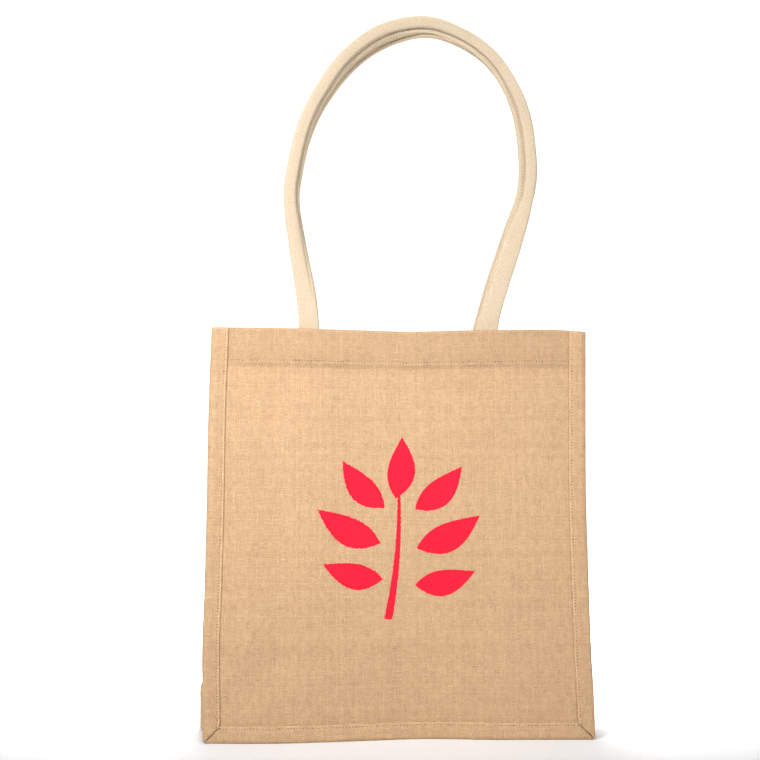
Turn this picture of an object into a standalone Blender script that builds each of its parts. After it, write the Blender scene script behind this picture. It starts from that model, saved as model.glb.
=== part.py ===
# A burlap shopping bag that stands open on its bottom gusset, with two padded cotton handles.
# Metres. X runs to the right as the front is seen, Y runs from the front to the back, Z is up.
# The origin lies on the ground under the middle of the base.

import math
from collections import namedtuple

import bmesh
import bpy

FRONT = -1
BACK = 1

# Cloth and sewing
PANEL_THICK = 0.0020        # burlap of the front and back panels
HEM_THICK = 0.0032          # the same where it is turned in as a hem
HEM_DEPTH = 0.036           # height of the hem below the top edge
HEM_RAMP = 0.003            # height over which the cloth thickens into the hem
HEM_SWELL = 0.0004          # how far the hem lifts the outer face
CUT_EDGE_THICK = 0.0010     # panel pressed thin in the side seams
GUSSET_THICK = 0.0016       # burlap of the gusset strip
BORDER_THICK = 0.0024       # its turned margin, sewn over the panel's edge
BORDER_WIDTH = 0.0175       # width of that margin on the front and the back
GUSSET_WIDTH = 0.147        # cloth between the two folded margins
FLANK_WAVE_LIMIT = 0.14     # steepest slope of the slack wave in each flank of the gusset (radians)
CLEAR = 0.0005              # play between cloth that touches
TAB_CLEAR = 0.0007          # play between a handle's end and the hem it is sewn to
EDGE_PLAY = 0.0003          # the panel's cut edge stays this far back from the fold
CORNER_RADIUS = 0.005       # bottom corners of the gusset
PANEL_CORNER = 0.0035       # bottom corners of the panels
NOMINAL_TOP = 0.418         # height that the top edges wander about
WANDER_POWER = 4            # how soon that wander dies out below the top
SWAY_HEIGHT = 0.26          # the base's wander has died out at this height
CORNER_BULGE = 0.007        # how far the gusset rolls out at the ground
BULGE_RUN = 0.070           # length of the bottom over which that dies out
TOP_DIP = 0.004             # how far the gusset's folded middle sinks at the top
DIP_POWER = 6               # how soon that dies out below the top
LOW_SIDE_ROW = 0.019        # the gusset's lowest section on a side, just above the corner
MITRE_LEAN = 0.009          # sections beside a corner lean this far towards its mitre
MITRE_STEPS = (0.0030, 0.0012, 0.0)     # the margin's edge beside its inner corner
MITRE_PLAY = 0.0005         # between the side strips' ends and the bottom strip's
SHARP_ANGLE = 50.0          # edges steeper than this stay sharp (degrees)

# The body from the ground up: where its sides lie, half the depth at the sides, how far the
# middle of each panel bows out from that, and the steepest fold of the gusset (degrees, out is
# negative).
BodySection = namedtuple("BodySection", "height left right half_depth bow fold")
BODY_SECTIONS = (
    BodySection(0.000, -0.1985, 0.2010, 0.0740, 0.0000, -10.0),
    BodySection(0.045, -0.1985, 0.1998, 0.0730, 0.0005, -9.0),
    BodySection(0.090, -0.1984, 0.1978, 0.0680, 0.0015, 20.0),
    BodySection(0.150, -0.1972, 0.1969, 0.0570, 0.0030, 38.0),
    BodySection(0.240, -0.1957, 0.1960, 0.0400, 0.0060, 88.0),
    BodySection(0.330, -0.1949, 0.1976, 0.0260, 0.0100, 88.0),
    BodySection(0.420, -0.1920, 0.1990, 0.0155, 0.0140, 88.0),
)

# Places across a panel run from -1 at its left side to 1 at its right side.
Sway = namedtuple("Sway", "across shift")
BASE_SWAY = {
    FRONT: (
        Sway(-1.00, -0.0050),
        Sway(-0.50, -0.0080),
        Sway(-0.15, 0.0020),
        Sway(0.10, 0.0090),
        Sway(0.40, 0.0090),
        Sway(1.00, 0.0030),
    ),
    BACK: (
        Sway(-1.00, -0.0050),
        Sway(-0.50, -0.0060),
        Sway(-0.10, 0.0010),
        Sway(0.30, 0.0060),
        Sway(1.00, 0.0030),
    ),
}

TopEdge = namedtuple("TopEdge", "across height")
TOP_EDGES = {
    FRONT: (
        TopEdge(-1.00, 0.4200),
        TopEdge(-0.60, 0.4208),
        TopEdge(-0.20, 0.4185),
        TopEdge(0.05, 0.4170),
        TopEdge(0.40, 0.4182),
        TopEdge(0.85, 0.4192),
        TopEdge(1.00, 0.4165),
    ),
    BACK: (
        TopEdge(-1.00, 0.4175),
        TopEdge(-0.40, 0.4180),
        TopEdge(0.10, 0.4162),
        TopEdge(0.60, 0.4184),
        TopEdge(1.00, 0.4190),
    ),
}

# Soft dents in the panels: middle, slope of the dent's long axis, half length, half width, depth
Dent = namedtuple("Dent", "x z angle half_length half_width depth")
DENTS = {
    FRONT: (
        Dent(-0.147, 0.062, 52.0, 0.034, 0.012, 0.0022),
        Dent(0.120, 0.300, 80.0, 0.090, 0.030, 0.0010),
    ),
    BACK: (
        Dent(0.110, 0.110, 118.0, 0.070, 0.022, 0.0024),
        Dent(-0.080, 0.260, 70.0, 0.090, 0.030, 0.0014),
    ),
}

# Where the panels have their rows and columns. The gusset's sections lie on the same ones.
ROW_HEIGHTS = (
    0.0175, 0.040, 0.066, 0.095, 0.130, 0.170, 0.210, 0.250,
    0.290, 0.330, 0.358, 0.3785, 0.382, 0.400, 0.418,
)
FIRST_SIDE_ROW = 1          # the lowest of them that the gusset has on its sides
CORNER_STEPS = (0.001, 0.002, 0.0035)   # extra rows in the panels' rounded corners
COLUMN_FRACTIONS = (
    0.0, 0.012, 0.045, 0.120, 0.200, 0.270, 0.330, 0.390, 0.450,
    0.510, 0.570, 0.650, 0.730, 0.810, 0.880, 0.955, 0.988, 1.0,
)

# Where the gusset's section has its points: across the fold over the panel's edge and along
# the cloth between the folds, closer together at the middle crease.
EDGE_FOLD_STEPS = 4
WEB_FRACTIONS = (0.10, 0.20, 0.30, 0.38, 0.44, 0.475, 0.50, 0.525, 0.56, 0.62, 0.70, 0.80, 0.90)
ROUND_CREASE = 0.30         # share of the cloth in a soft bend
SHARP_CREASE = 0.035        # the same in a pressed crease
CREASE_LOW = 0.05           # the gusset's middle turns from a bend into a crease
CREASE_HIGH = 0.24          # between these heights
WALK_STEPS = 120            # steps in which a section's length is added up
HALVINGS = 24               # how closely a fold is fitted to the cloth's length

# Handles: cotton webbing round a padding cord, with its sewn edges as a fin on the inside of
# the loop, pressed flat where its ends are sewn in behind the hem.
TUBE_ACROSS = 0.0062        # half width of the padded tube in the loop's plane
TUBE_THROUGH = 0.0055       # half width of the tube from front to back
TUBE_SHIFT = 0.0024         # the tube's middle, out from the middle of tube and fin
FIN_REACH = 0.0087          # the fin's edge, in from that middle
FIN_ROOT = 0.0034           # where the fin leaves the tube
FIN_HALF = 0.0012           # half the fin's thickness
TUBE_SEAM = 150.0           # the tube ends where the fin leaves it, this far round (degrees)
TAB_HALF_WIDTH = 0.0118     # the flattened end
TAB_HALF_THICK = 0.0021
TAB_SQUARENESS = 0.35       # 1 gives an ellipse, smaller gives a squarer tab
TAB_SEAM = 128.0            # where the tube's last point lies on the flattened end (degrees)
TAB_CORNER_WIDTH = 0.95     # the corner on its fin side, in shares of its half width
TAB_CORNER_THICK = 0.90     # and of its half thickness
TAB_EDGE_THICK = 0.60
TAB_TOP = 0.4225            # the end is flat up to here, just above the hem
TUBE_START = 0.452          # and fully round from here
LEAN_END = 0.500            # here the handle has left the panel's slope
HANDLE_TOP_GAP = 0.0200     # from the middle plane to each handle at its top
TUBE_SIDES = 11
ROOT_STEPS = 4              # rings from one point of the path to the next above the hem
LOOP_STEPS = 2              # and elsewhere

HandlePoint = namedtuple("HandlePoint", "x z turn")
HANDLE_PATH = (
    HandlePoint(-0.0890, 0.3850, 0.0),
    HandlePoint(-0.0899, 0.4225, 5.0),
    HandlePoint(-0.0950, 0.4620, 42.0),
    HandlePoint(-0.1035, 0.5120, 50.0),
    HandlePoint(-0.1085, 0.5560, 50.0),
    HandlePoint(-0.1052, 0.5880, 45.0),
    HandlePoint(-0.0945, 0.6320, 34.0),
    HandlePoint(-0.0760, 0.6700, 26.0),
    HandlePoint(-0.0490, 0.7060, 22.0),
    HandlePoint(-0.0130, 0.7310, 20.0),
    HandlePoint(0.0300, 0.7390, 16.0),
    HandlePoint(0.0680, 0.7270, 0.0),
    HandlePoint(0.0990, 0.7045, -12.0),
    HandlePoint(0.1200, 0.6740, -16.0),
    HandlePoint(0.1325, 0.6400, -18.0),
    HandlePoint(0.1380, 0.5920, -16.0),
    HandlePoint(0.1338, 0.5560, -12.0),
    HandlePoint(0.1195, 0.5060, -8.0),
    HandlePoint(0.1065, 0.4640, -4.0),
    HandlePoint(0.0960, 0.4225, 0.0),
    HandlePoint(0.0920, 0.3850, 0.0),
)
BACK_LOOP_SHIFT = 0.0020    # the back loop leans this far to the right at its top
BACK_LOOP_DROP = 0.0015     # and stands this much lower

BURLAP = (0.62, 0.42, 0.24, 1.0)
COTTON = (0.86, 0.78, 0.62, 1.0)
BURLAP_ROUGHNESS = 0.92
COTTON_ROUGHNESS = 0.88


def ease(value, low, high):
    share = min(1.0, max(0.0, (value - low) / (high - low)))
    return share * share * (3.0 - 2.0 * share)


def mix(low, high, share):
    return low + (high - low) * share


def slope_at(rows, index, column):
    before = rows[max(index - 1, 0)]
    after = rows[min(index + 1, len(rows) - 1)]
    return (getattr(after, column) - getattr(before, column)) / (after[0] - before[0])


def read(rows, place, column):
    """A smooth value from a table whose first column is the place; straight past its ends."""
    if place <= rows[0][0]:
        return getattr(rows[0], column) + slope_at(rows, 0, column) * (place - rows[0][0])
    if place >= rows[-1][0]:
        last = len(rows) - 1
        return getattr(rows[last], column) + slope_at(rows, last, column) * (place - rows[last][0])
    index = 0
    while rows[index + 1][0] < place:
        index += 1
    low = rows[index]
    high = rows[index + 1]
    span = high[0] - low[0]
    t = (place - low[0]) / span
    start = slope_at(rows, index, column) * span
    finish = slope_at(rows, index + 1, column) * span
    low_value = getattr(low, column)
    high_value = getattr(high, column)
    cubic = 2.0 * low_value - 2.0 * high_value + start + finish
    square = -3.0 * low_value + 3.0 * high_value - 2.0 * start - finish
    return ((cubic * t + square) * t + start) * t + low_value


# The two panels' faces

def side_lines(height):
    return read(BODY_SECTIONS, height, "left"), read(BODY_SECTIONS, height, "right")


def across_at(x, height):
    left, right = side_lines(height)
    return (2.0 * x - left - right) / (right - left)


def dent_depth(side, x, z):
    total = 0.0
    for dent in DENTS[side]:
        angle = math.radians(dent.angle)
        along = (x - dent.x) * math.cos(angle) + (z - dent.z) * math.sin(angle)
        aside = (z - dent.z) * math.cos(angle) - (x - dent.x) * math.sin(angle)
        spread = (along / dent.half_length) ** 2 + (aside / dent.half_width) ** 2
        total += dent.depth * math.exp(-spread)
    return total


def hem_share(z):
    hem_bottom = NOMINAL_TOP - HEM_DEPTH
    return ease(z, hem_bottom - HEM_RAMP, hem_bottom)


def outer_face(side, x, z):
    across = min(1.0, max(-1.0, across_at(x, z)))
    depth = read(BODY_SECTIONS, z, "half_depth")
    depth += read(BODY_SECTIONS, z, "bow") * (1.0 - across * across)
    depth += HEM_SWELL * hem_share(z)
    depth -= dent_depth(side, x, z)
    fade = 1.0 - ease(z, 0.0, SWAY_HEIGHT)
    return side * depth + read(BASE_SWAY[side], across, "shift") * fade


def panel_thickness(z):
    return mix(PANEL_THICK, HEM_THICK, hem_share(z))


def lifted(side, across, z):
    """Height of a row where its top edge wanders up or down."""
    wander = read(TOP_EDGES[side], across, "height") - NOMINAL_TOP
    return z + wander * (z / NOMINAL_TOP) ** WANDER_POWER


# Meshes

def new_material(name, colour, roughness):
    material = bpy.data.materials.new(name)
    material.use_nodes = True
    shader = material.node_tree.nodes["Principled BSDF"]
    shader.inputs["Base Color"].default_value = colour
    shader.inputs["Roughness"].default_value = roughness
    shader.inputs["Metallic"].default_value = 0.0
    return material


def new_object(name, mesh_builder, colour, roughness):
    bmesh.ops.recalc_face_normals(mesh_builder, faces=mesh_builder.faces)
    mesh = bpy.data.meshes.new(name)
    mesh_builder.to_mesh(mesh)
    mesh_builder.free()
    mesh.materials.append(new_material(name + "_cloth", colour, roughness))
    mesh.shade_smooth()
    mesh.set_sharp_from_angle(angle=math.radians(SHARP_ANGLE))
    node = bpy.data.objects.new(name, mesh)
    bpy.context.scene.collection.objects.link(node)
    return node


def add_skin(builder, rows):
    """A grid with one vertex for each point of the rows."""
    grid = bmesh.ops.create_grid(
        builder, x_segments=len(rows[0]) - 1, y_segments=len(rows) - 1, size=0.5)
    points = [point for row in rows for point in row]
    for vertex, point in zip(grid["verts"], points):
        vertex.co = point


def closed_sheet(outer_rows, inner_rows):
    """Two skins of the same rows and columns, joined round their rim."""
    builder = bmesh.new()
    add_skin(builder, outer_rows)
    add_skin(builder, inner_rows)
    rim = [edge for edge in builder.edges if edge.is_boundary]
    bmesh.ops.bridge_loops(builder, edges=rim)
    return builder


# Front and back panel

def panel_edges(z):
    left, right = side_lines(z)
    inset = GUSSET_THICK + CLEAR + EDGE_PLAY
    return left + inset, right - inset


def build_panel(name, side):
    bottom = GUSSET_THICK + CLEAR + EDGE_PLAY
    heights = [bottom] + [bottom + step for step in CORNER_STEPS] + list(ROW_HEIGHTS)
    outer_rows = []
    inner_rows = []
    for height in heights:
        left, right = panel_edges(height)
        drop = max(0.0, PANEL_CORNER - (height - bottom))
        round_off = PANEL_CORNER - math.sqrt(PANEL_CORNER ** 2 - drop ** 2)
        left += round_off
        right -= round_off
        outer_row = []
        inner_row = []
        for fraction in COLUMN_FRACTIONS:
            x = mix(left, right, fraction)
            z = lifted(side, 2.0 * fraction - 1.0, height)
            edge_share = ease(min(fraction, 1.0 - fraction), 0.0, COLUMN_FRACTIONS[1])
            if height == bottom:
                edge_share = 0.0
            thick = mix(CUT_EDGE_THICK, panel_thickness(height), edge_share)
            spare = 0.5 * (panel_thickness(height) - thick)
            y = outer_face(side, x, height)
            outer_row.append((x, y - side * spare, z))
            inner_row.append((x, y - side * (spare + thick), z))
        outer_rows.append(outer_row)
        inner_rows.append(inner_row)
    return new_object(name, closed_sheet(outer_rows, inner_rows), BURLAP, BURLAP_ROUGHNESS)


# Gusset: three strips that meet in a mitre at each bottom corner

def crease_turn(fraction, softness):
    """1 on the front flank, 0 on the middle crease, -1 on the back flank."""
    return math.tanh((0.5 - fraction) / softness) / math.tanh(0.5 / softness)


def walk_web(fold, flank_wave, softness, steps):
    """Points along the cloth between its folds, for cloth of length 1: (inward, back)."""
    points = [(0.0, 0.0)]
    for step in range(steps):
        fraction = (step + 0.5) / steps
        angle = fold * crease_turn(fraction, softness)
        angle -= flank_wave * math.sin(4.0 * math.pi * fraction)
        inward, back = points[-1]
        points.append((inward + math.sin(angle) / steps, back + math.cos(angle) / steps))
    return points


def solve_web(width, fold_limit, fold_radius, softness):
    """The fold and flank wave with which the gusset's whole cloth spans the width."""
    def spare(fold, flank_wave):
        span = width - 2.0 * fold_radius * math.sin(fold)
        return GUSSET_WIDTH * walk_web(fold, flank_wave, softness, WALK_STEPS)[-1][1] - span

    if spare(0.0, 0.0) <= 0.0:
        return 0.0, 0.0
    if spare(fold_limit, 0.0) < 0.0:
        low = 0.0
        high = fold_limit
        for _ in range(HALVINGS):
            middle = 0.5 * (low + high)
            if spare(middle, 0.0) < 0.0:
                high = middle
            else:
                low = middle
        return low, 0.0
    low = 0.0
    high = FLANK_WAVE_LIMIT
    for _ in range(HALVINGS):
        middle = 0.5 * (low + high)
        if spare(fold_limit, middle) < 0.0:
            high = middle
        else:
            low = middle
    return fold_limit, low


def gusset_profile(front_y, back_y, thick, fold_limit, softness):
    """Middle line of the gusset's section from one margin's fold to the other: (inward, y).

    Without a fold limit the cloth lies flat.
    """
    radius = 0.5 * thick + CLEAR + 0.5 * GUSSET_THICK
    centre = GUSSET_THICK + CLEAR + 0.5 * thick
    fold = 0.0
    flank_wave = 0.0
    if fold_limit:
        fold, flank_wave = solve_web(back_y - front_y, fold_limit, radius, softness)
    sweep = 0.5 * math.pi + fold
    front_fold = []
    back_fold = []
    for step in range(EDGE_FOLD_STEPS + 1):
        angle = sweep * step / EDGE_FOLD_STEPS
        inward = centre - radius * math.sin(angle)
        front_fold.append((inward, front_y - radius * math.cos(angle)))
        back_fold.append((inward, back_y + radius * math.cos(angle)))
    walk = walk_web(fold, flank_wave, softness, WALK_STEPS)
    start_inward, start_y = front_fold[-1]
    end_inward, end_y = back_fold[-1]
    stretch = (end_y - start_y) / walk[-1][1]
    web = []
    for fraction in WEB_FRACTIONS:
        inward, back = walk[round(fraction * WALK_STEPS)]
        web.append((start_inward + GUSSET_WIDTH * inward, start_y + stretch * back))
    return front_fold + web + back_fold[::-1]


def offset_line(line, distances):
    """The line moved to its outer side by a distance for each point."""
    moved = []
    for index, (inward, y) in enumerate(line):
        before = line[max(index - 1, 0)]
        after = line[min(index + 1, len(line) - 1)]
        run_inward = after[0] - before[0]
        run_y = after[1] - before[1]
        length = math.hypot(run_inward, run_y)
        moved.append((
            inward - run_y / length * distances[index],
            y + run_inward / length * distances[index],
        ))
    return moved


def gusset_row(outer_point, lip_point, inward_direction, height, fold_limit, softness, roll_out):
    """One section of the gusset: its outer and inner points in space.

    outer_point and lip_point are the (x, z) of the fold's outermost line and of the margin's
    inner edge; roll_out moves the cloth between the folds sideways along X.
    """
    edge_x, edge_z = outer_point
    thick = panel_thickness(height)
    middles = {}
    for side in (FRONT, BACK):
        middles[side] = outer_face(side, edge_x, height) - side * 0.5 * thick
    profile = gusset_profile(middles[FRONT], middles[BACK], thick, fold_limit, softness)
    folds = EDGE_FOLD_STEPS + 1
    half = 0.5 * GUSSET_THICK
    distances = [half] * len(profile)
    for step in range(folds):
        share = 1.0 - step / EDGE_FOLD_STEPS
        distances[step] = mix(half, BORDER_THICK - half, share)
        distances[-1 - step] = distances[step]
    outer_line = offset_line(profile, distances)
    inner_line = offset_line(profile, [-half] * len(profile))
    skins = []
    for line in (outer_line, inner_line):
        skins.append([])
        for index, (inward, y) in enumerate(line):
            along_web = (index - folds + 1) / (len(line) - 2 * folds + 1)
            roll = math.sin(math.pi * min(1.0, max(0.0, along_web))) * roll_out
            x = edge_x + inward_direction[0] * inward + roll
            z = edge_z + inward_direction[1] * inward
            skins[-1].append((x, y, z))
    outer, inner = skins
    for side, place in ((FRONT, 0), (BACK, len(profile))):
        margin = []
        for share in (1.0, 0.5):
            x = mix(edge_x, lip_point[0], share)
            z = mix(edge_z, lip_point[1], share)
            face = outer_face(side, x, max(z, 0.0))
            margin.append((
                (x, face + side * (CLEAR + BORDER_THICK), z),
                (x, face + side * CLEAR, z),
            ))
        if side == FRONT:
            outer[0:0] = [pair[0] for pair in margin]
            inner[0:0] = [pair[1] for pair in margin]
        else:
            outer.extend(pair[0] for pair in reversed(margin))
            inner.extend(pair[1] for pair in reversed(margin))
    return outer, inner


def raise_top(row, hand, height):
    """Lets a side section of the gusset follow the wandering top edges, with a sunk middle."""
    count = len(row) - 1
    lifted_row = []
    for index, (x, y, z) in enumerate(row):
        share = index / count
        front_top = lifted(FRONT, hand, height) - height
        back_top = lifted(BACK, hand, height) - height
        dip = TOP_DIP * math.sin(math.pi * share) ** 2 * (height / NOMINAL_TOP) ** DIP_POWER
        lifted_row.append((x, y, z + mix(front_top, back_top, share) - dip))
    return lifted_row


def side_row(hand, height, lip_height):
    left, right = side_lines(height)
    edge_x = left if hand < 0 else right
    softness = mix(ROUND_CREASE, SHARP_CREASE, ease(height, CREASE_LOW, CREASE_HIGH))
    fold_limit = math.radians(read(BODY_SECTIONS, height, "fold"))
    lip_point = (edge_x - hand * BORDER_WIDTH, lip_height)
    outer, inner = gusset_row(
        (edge_x, height), lip_point, (-hand, 0.0), height, fold_limit, softness, 0.0)
    return raise_top(outer, hand, height), raise_top(inner, hand, height)


def moved_row(row, shift_x, shift_z):
    return tuple([(x + shift_x, y, z + shift_z) for x, y, z in skin] for skin in row)


def corner_rows(hand):
    """The side strip's end and the bottom strip's end, each from its straight part to the mitre."""
    left, right = side_lines(0.0)
    edge_x = left if hand < 0 else right
    play = 0.5 * MITRE_PLAY * math.sqrt(0.5)
    side_end = []
    bottom_end = []
    for index, step in enumerate(MITRE_STEPS):
        turn = 0.25 * math.pi * index / (len(MITRE_STEPS) - 1)
        for rows, angle, along_bottom, up_side in (
                (side_end, turn, 0.0, step),
                (bottom_end, 0.5 * math.pi - turn, step, 0.0)):
            x = edge_x - hand * CORNER_RADIUS * (1.0 - math.cos(angle))
            z = CORNER_RADIUS * (1.0 - math.sin(angle))
            lip_point = (edge_x - hand * (BORDER_WIDTH + along_bottom), BORDER_WIDTH + up_side)
            direction = (-hand * math.cos(angle), math.sin(angle))
            rows.append(gusset_row(
                (x, z), lip_point, direction, z, 0.0, ROUND_CREASE, hand * CORNER_BULGE))
    side_end[-1] = moved_row(side_end[-1], hand * play, play)
    bottom_end[-1] = moved_row(bottom_end[-1], -hand * play, -play)
    return side_end, bottom_end


def bottom_rows():
    left, right = panel_edges(0.0)
    rows = []
    for fraction in COLUMN_FRACTIONS[2:-2]:
        x = mix(left, right, fraction)
        reach = min(x - left, right - x)
        hand = -1 if fraction < 0.5 else 1
        roll_out = hand * CORNER_BULGE * (1.0 - ease(reach, 0.0, BULGE_RUN))
        lip_x = x
        if fraction in (COLUMN_FRACTIONS[2], COLUMN_FRACTIONS[-3]):
            lip_x = x - hand * MITRE_LEAN
        rows.append(gusset_row(
            (x, 0.0), (lip_x, BORDER_WIDTH), (0.0, 1.0), 0.0, 0.0, ROUND_CREASE, roll_out))
    return rows


def build_strip(name, rows):
    outer_rows = [row[0] for row in rows]
    inner_rows = [row[1] for row in rows]
    return new_object(name, closed_sheet(outer_rows, inner_rows), BURLAP, BURLAP_ROUGHNESS)


def build_side_gusset(name, hand):
    rows = [side_row(hand, height, height) for height in reversed(ROW_HEIGHTS[FIRST_SIDE_ROW:])]
    rows.append(side_row(hand, LOW_SIDE_ROW, LOW_SIDE_ROW + MITRE_LEAN))
    side_end, _ = corner_rows(hand)
    return build_strip(name, rows + side_end)


def build_bottom_gusset(name):
    _, left_end = corner_rows(-1)
    _, right_end = corner_rows(1)
    return build_strip(name, left_end[::-1] + bottom_rows() + right_end)


# Handles

def loop_points(side):
    points = []
    for row in HANDLE_PATH:
        rise = ease(row.z, TAB_TOP, HANDLE_PATH[len(HANDLE_PATH) // 2].z)
        x = row.x
        z = row.z
        if side == BACK:
            x += BACK_LOOP_SHIFT * rise
            z -= BACK_LOOP_DROP * rise
        points.append((x, z, row.turn))
    return points


def ring_places(last):
    """Where the handle has its rings, counted in points of its path."""
    places = []
    for index in range(last):
        steps = ROOT_STEPS if index in (1, last - 2) else LOOP_STEPS
        places.extend(index + step / steps for step in range(steps))
    places.append(float(last))
    return places


def smooth_loop(points, place):
    """A point of the loop and its direction, with place counted in points of the path."""
    last = len(points) - 1
    index = min(int(place), last - 1)
    t = place - index
    start = points[index]
    finish = points[index + 1]
    before = points[index - 1] if index > 0 else [2.0 * a - b for a, b in zip(start, finish)]
    after = points[index + 2] if index + 2 <= last else [2.0 * b - a for a, b in zip(start, finish)]
    value = []
    slope = []
    for p0, p1, p2, p3 in zip(before, start, finish, after):
        in_slope = 0.5 * (p2 - p0)
        out_slope = 0.5 * (p3 - p1)
        cubic = 2.0 * p1 - 2.0 * p2 + in_slope + out_slope
        square = -3.0 * p1 + 3.0 * p2 - 2.0 * in_slope - out_slope
        value.append(((cubic * t + square) * t + in_slope) * t + p1)
        slope.append((3.0 * cubic * t + 2.0 * square) * t + in_slope)
    return value, slope


def tube_outline():
    """The padded tube with its sewn fin: (outward in the loop's plane, through)."""
    points = []
    for step in range(TUBE_SIDES):
        angle = math.radians(mix(-TUBE_SEAM, TUBE_SEAM, step / (TUBE_SIDES - 1)))
        points.append((TUBE_SHIFT + TUBE_ACROSS * math.cos(angle), TUBE_THROUGH * math.sin(angle)))
    points.append((-FIN_ROOT, FIN_HALF))
    points.append((-FIN_REACH, FIN_HALF))
    points.append((-FIN_REACH, -FIN_HALF))
    points.append((-FIN_ROOT, -FIN_HALF))
    return points


def tab_outline():
    """The pressed end with as many points as the tube, in the same order."""
    points = []
    for step in range(TUBE_SIDES):
        angle = math.radians(mix(-TAB_SEAM, TAB_SEAM, step / (TUBE_SIDES - 1)))
        across = math.copysign(abs(math.cos(angle)) ** TAB_SQUARENESS, math.cos(angle))
        through = math.copysign(abs(math.sin(angle)) ** TAB_SQUARENESS, math.sin(angle))
        points.append((TAB_HALF_WIDTH * across, TAB_HALF_THICK * through))
    corner_across = TAB_CORNER_WIDTH * TAB_HALF_WIDTH
    corner_through = TAB_CORNER_THICK * TAB_HALF_THICK
    edge_through = TAB_EDGE_THICK * TAB_HALF_THICK
    points.append((-corner_across, corner_through))
    points.append((-TAB_HALF_WIDTH, edge_through))
    points.append((-TAB_HALF_WIDTH, -edge_through))
    points.append((-corner_across, -corner_through))
    return points


def handle_ring(side, points, place):
    (x, z, turn), (run_x, run_z, _) = smooth_loop(points, place)
    length = math.hypot(run_x, run_z)
    out_x = -run_z / length
    out_z = run_x / length
    tube_share = ease(z, TAB_TOP, TUBE_START)
    lean = ease(z, TAB_TOP, LEAN_END)
    angle = math.radians(turn) * tube_share
    ring = []
    for (tube_out, tube_through), (tab_out, tab_through) in zip(tube_outline(), tab_outline()):
        out = mix(tab_out, tube_out, tube_share)
        through = mix(tab_through, tube_through, tube_share)
        turned_out = out * math.cos(angle) + through * math.sin(angle)
        turned_through = through * math.cos(angle) - out * math.sin(angle)
        point_x = x + out_x * turned_out
        point_z = z + out_z * turned_out
        seat = outer_face(side, point_x, min(point_z, NOMINAL_TOP))
        seat -= side * (HEM_THICK + TAB_CLEAR + TAB_HALF_THICK)
        middle = mix(seat, side * HANDLE_TOP_GAP, lean)
        ring.append((point_x, middle - side * turned_through, point_z))
    return ring


def build_handle(name, side):
    points = loop_points(side)
    builder = bmesh.new()
    earlier = []
    for place in ring_places(len(points) - 1):
        ring = handle_ring(side, points, place)
        circle = bmesh.ops.create_circle(builder, segments=len(ring), radius=1.0)
        for vertex, point in zip(circle["verts"], ring):
            vertex.co = point
        edges = list({edge for vertex in circle["verts"] for edge in vertex.link_edges})
        if earlier:
            bmesh.ops.bridge_loops(builder, edges=earlier + edges)
        earlier = edges
    bmesh.ops.holes_fill(builder, edges=[edge for edge in builder.edges if edge.is_boundary])
    return new_object(name, builder, COTTON, COTTON_ROUGHNESS)


def main():
    for old in list(bpy.data.objects):
        bpy.data.objects.remove(old, do_unlink=True)
    build_panel("front_panel", FRONT)
    build_panel("back_panel", BACK)
    build_side_gusset("gusset_left", -1)
    build_side_gusset("gusset_right", 1)
    build_bottom_gusset("gusset_bottom")
    build_handle("handle_front", FRONT)
    build_handle("handle_back", BACK)


main()
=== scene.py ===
import math
import random
from collections import namedtuple

import bmesh
import bpy
from mathutils import Matrix, Vector


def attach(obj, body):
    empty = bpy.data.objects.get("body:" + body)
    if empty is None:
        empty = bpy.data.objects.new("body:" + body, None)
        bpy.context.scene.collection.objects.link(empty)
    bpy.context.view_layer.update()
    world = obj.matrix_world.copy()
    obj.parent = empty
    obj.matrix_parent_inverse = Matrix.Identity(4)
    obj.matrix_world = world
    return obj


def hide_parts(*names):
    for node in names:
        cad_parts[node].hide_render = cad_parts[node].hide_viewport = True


# A burlap shopping bag with two padded cotton handles. Metres; X to the right as the front is
# seen, Y from the front to the back, Z up.

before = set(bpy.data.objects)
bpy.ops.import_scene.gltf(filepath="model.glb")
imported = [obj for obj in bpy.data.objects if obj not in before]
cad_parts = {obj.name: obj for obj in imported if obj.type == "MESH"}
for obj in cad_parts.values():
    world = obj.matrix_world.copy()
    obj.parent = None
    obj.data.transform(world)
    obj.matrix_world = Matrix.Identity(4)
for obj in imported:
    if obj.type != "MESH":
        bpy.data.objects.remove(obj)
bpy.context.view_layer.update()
print("solids loaded")

front = -1
back = 1


# Small tools

def ease(value, low, high):
    share = min(1.0, max(0.0, (value - low) / (high - low)))
    return share * share * (3.0 - 2.0 * share)


def mix(low, high, share):
    return low + (high - low) * share


def bump(value, middle, halfWidth):
    return math.exp(-((value - middle) / halfWidth) ** 2)


def slopeAt(rows, index, column):
    before = rows[max(index - 1, 0)]
    after = rows[min(index + 1, len(rows) - 1)]
    return (getattr(after, column) - getattr(before, column)) / (after[0] - before[0])


# Value and slope of a smooth curve between two values with given slopes; t runs from 0 to 1
def smoothSpan(low, high, lowSlope, highSlope, t):
    cubic = 2.0 * low - 2.0 * high + lowSlope + highSlope
    square = -3.0 * low + 3.0 * high - 2.0 * lowSlope - highSlope
    value = ((cubic * t + square) * t + lowSlope) * t + low
    return value, (3.0 * cubic * t + 2.0 * square) * t + lowSlope


# A smooth value from a table whose first column is the place; straight past its ends
def readTable(rows, place, column):
    last = len(rows) - 1
    if place <= rows[0][0] or place >= rows[last][0]:
        end = 0 if place <= rows[0][0] else last
        return getattr(rows[end], column) + slopeAt(rows, end, column) * (place - rows[end][0])
    index = 0
    while rows[index + 1][0] < place:
        index += 1
    low = rows[index]
    high = rows[index + 1]
    span = high[0] - low[0]
    value, _ = smoothSpan(getattr(low, column), getattr(high, column),
                          slopeAt(rows, index, column) * span,
                          slopeAt(rows, index + 1, column) * span, (place - low[0]) / span)
    return value


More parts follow.
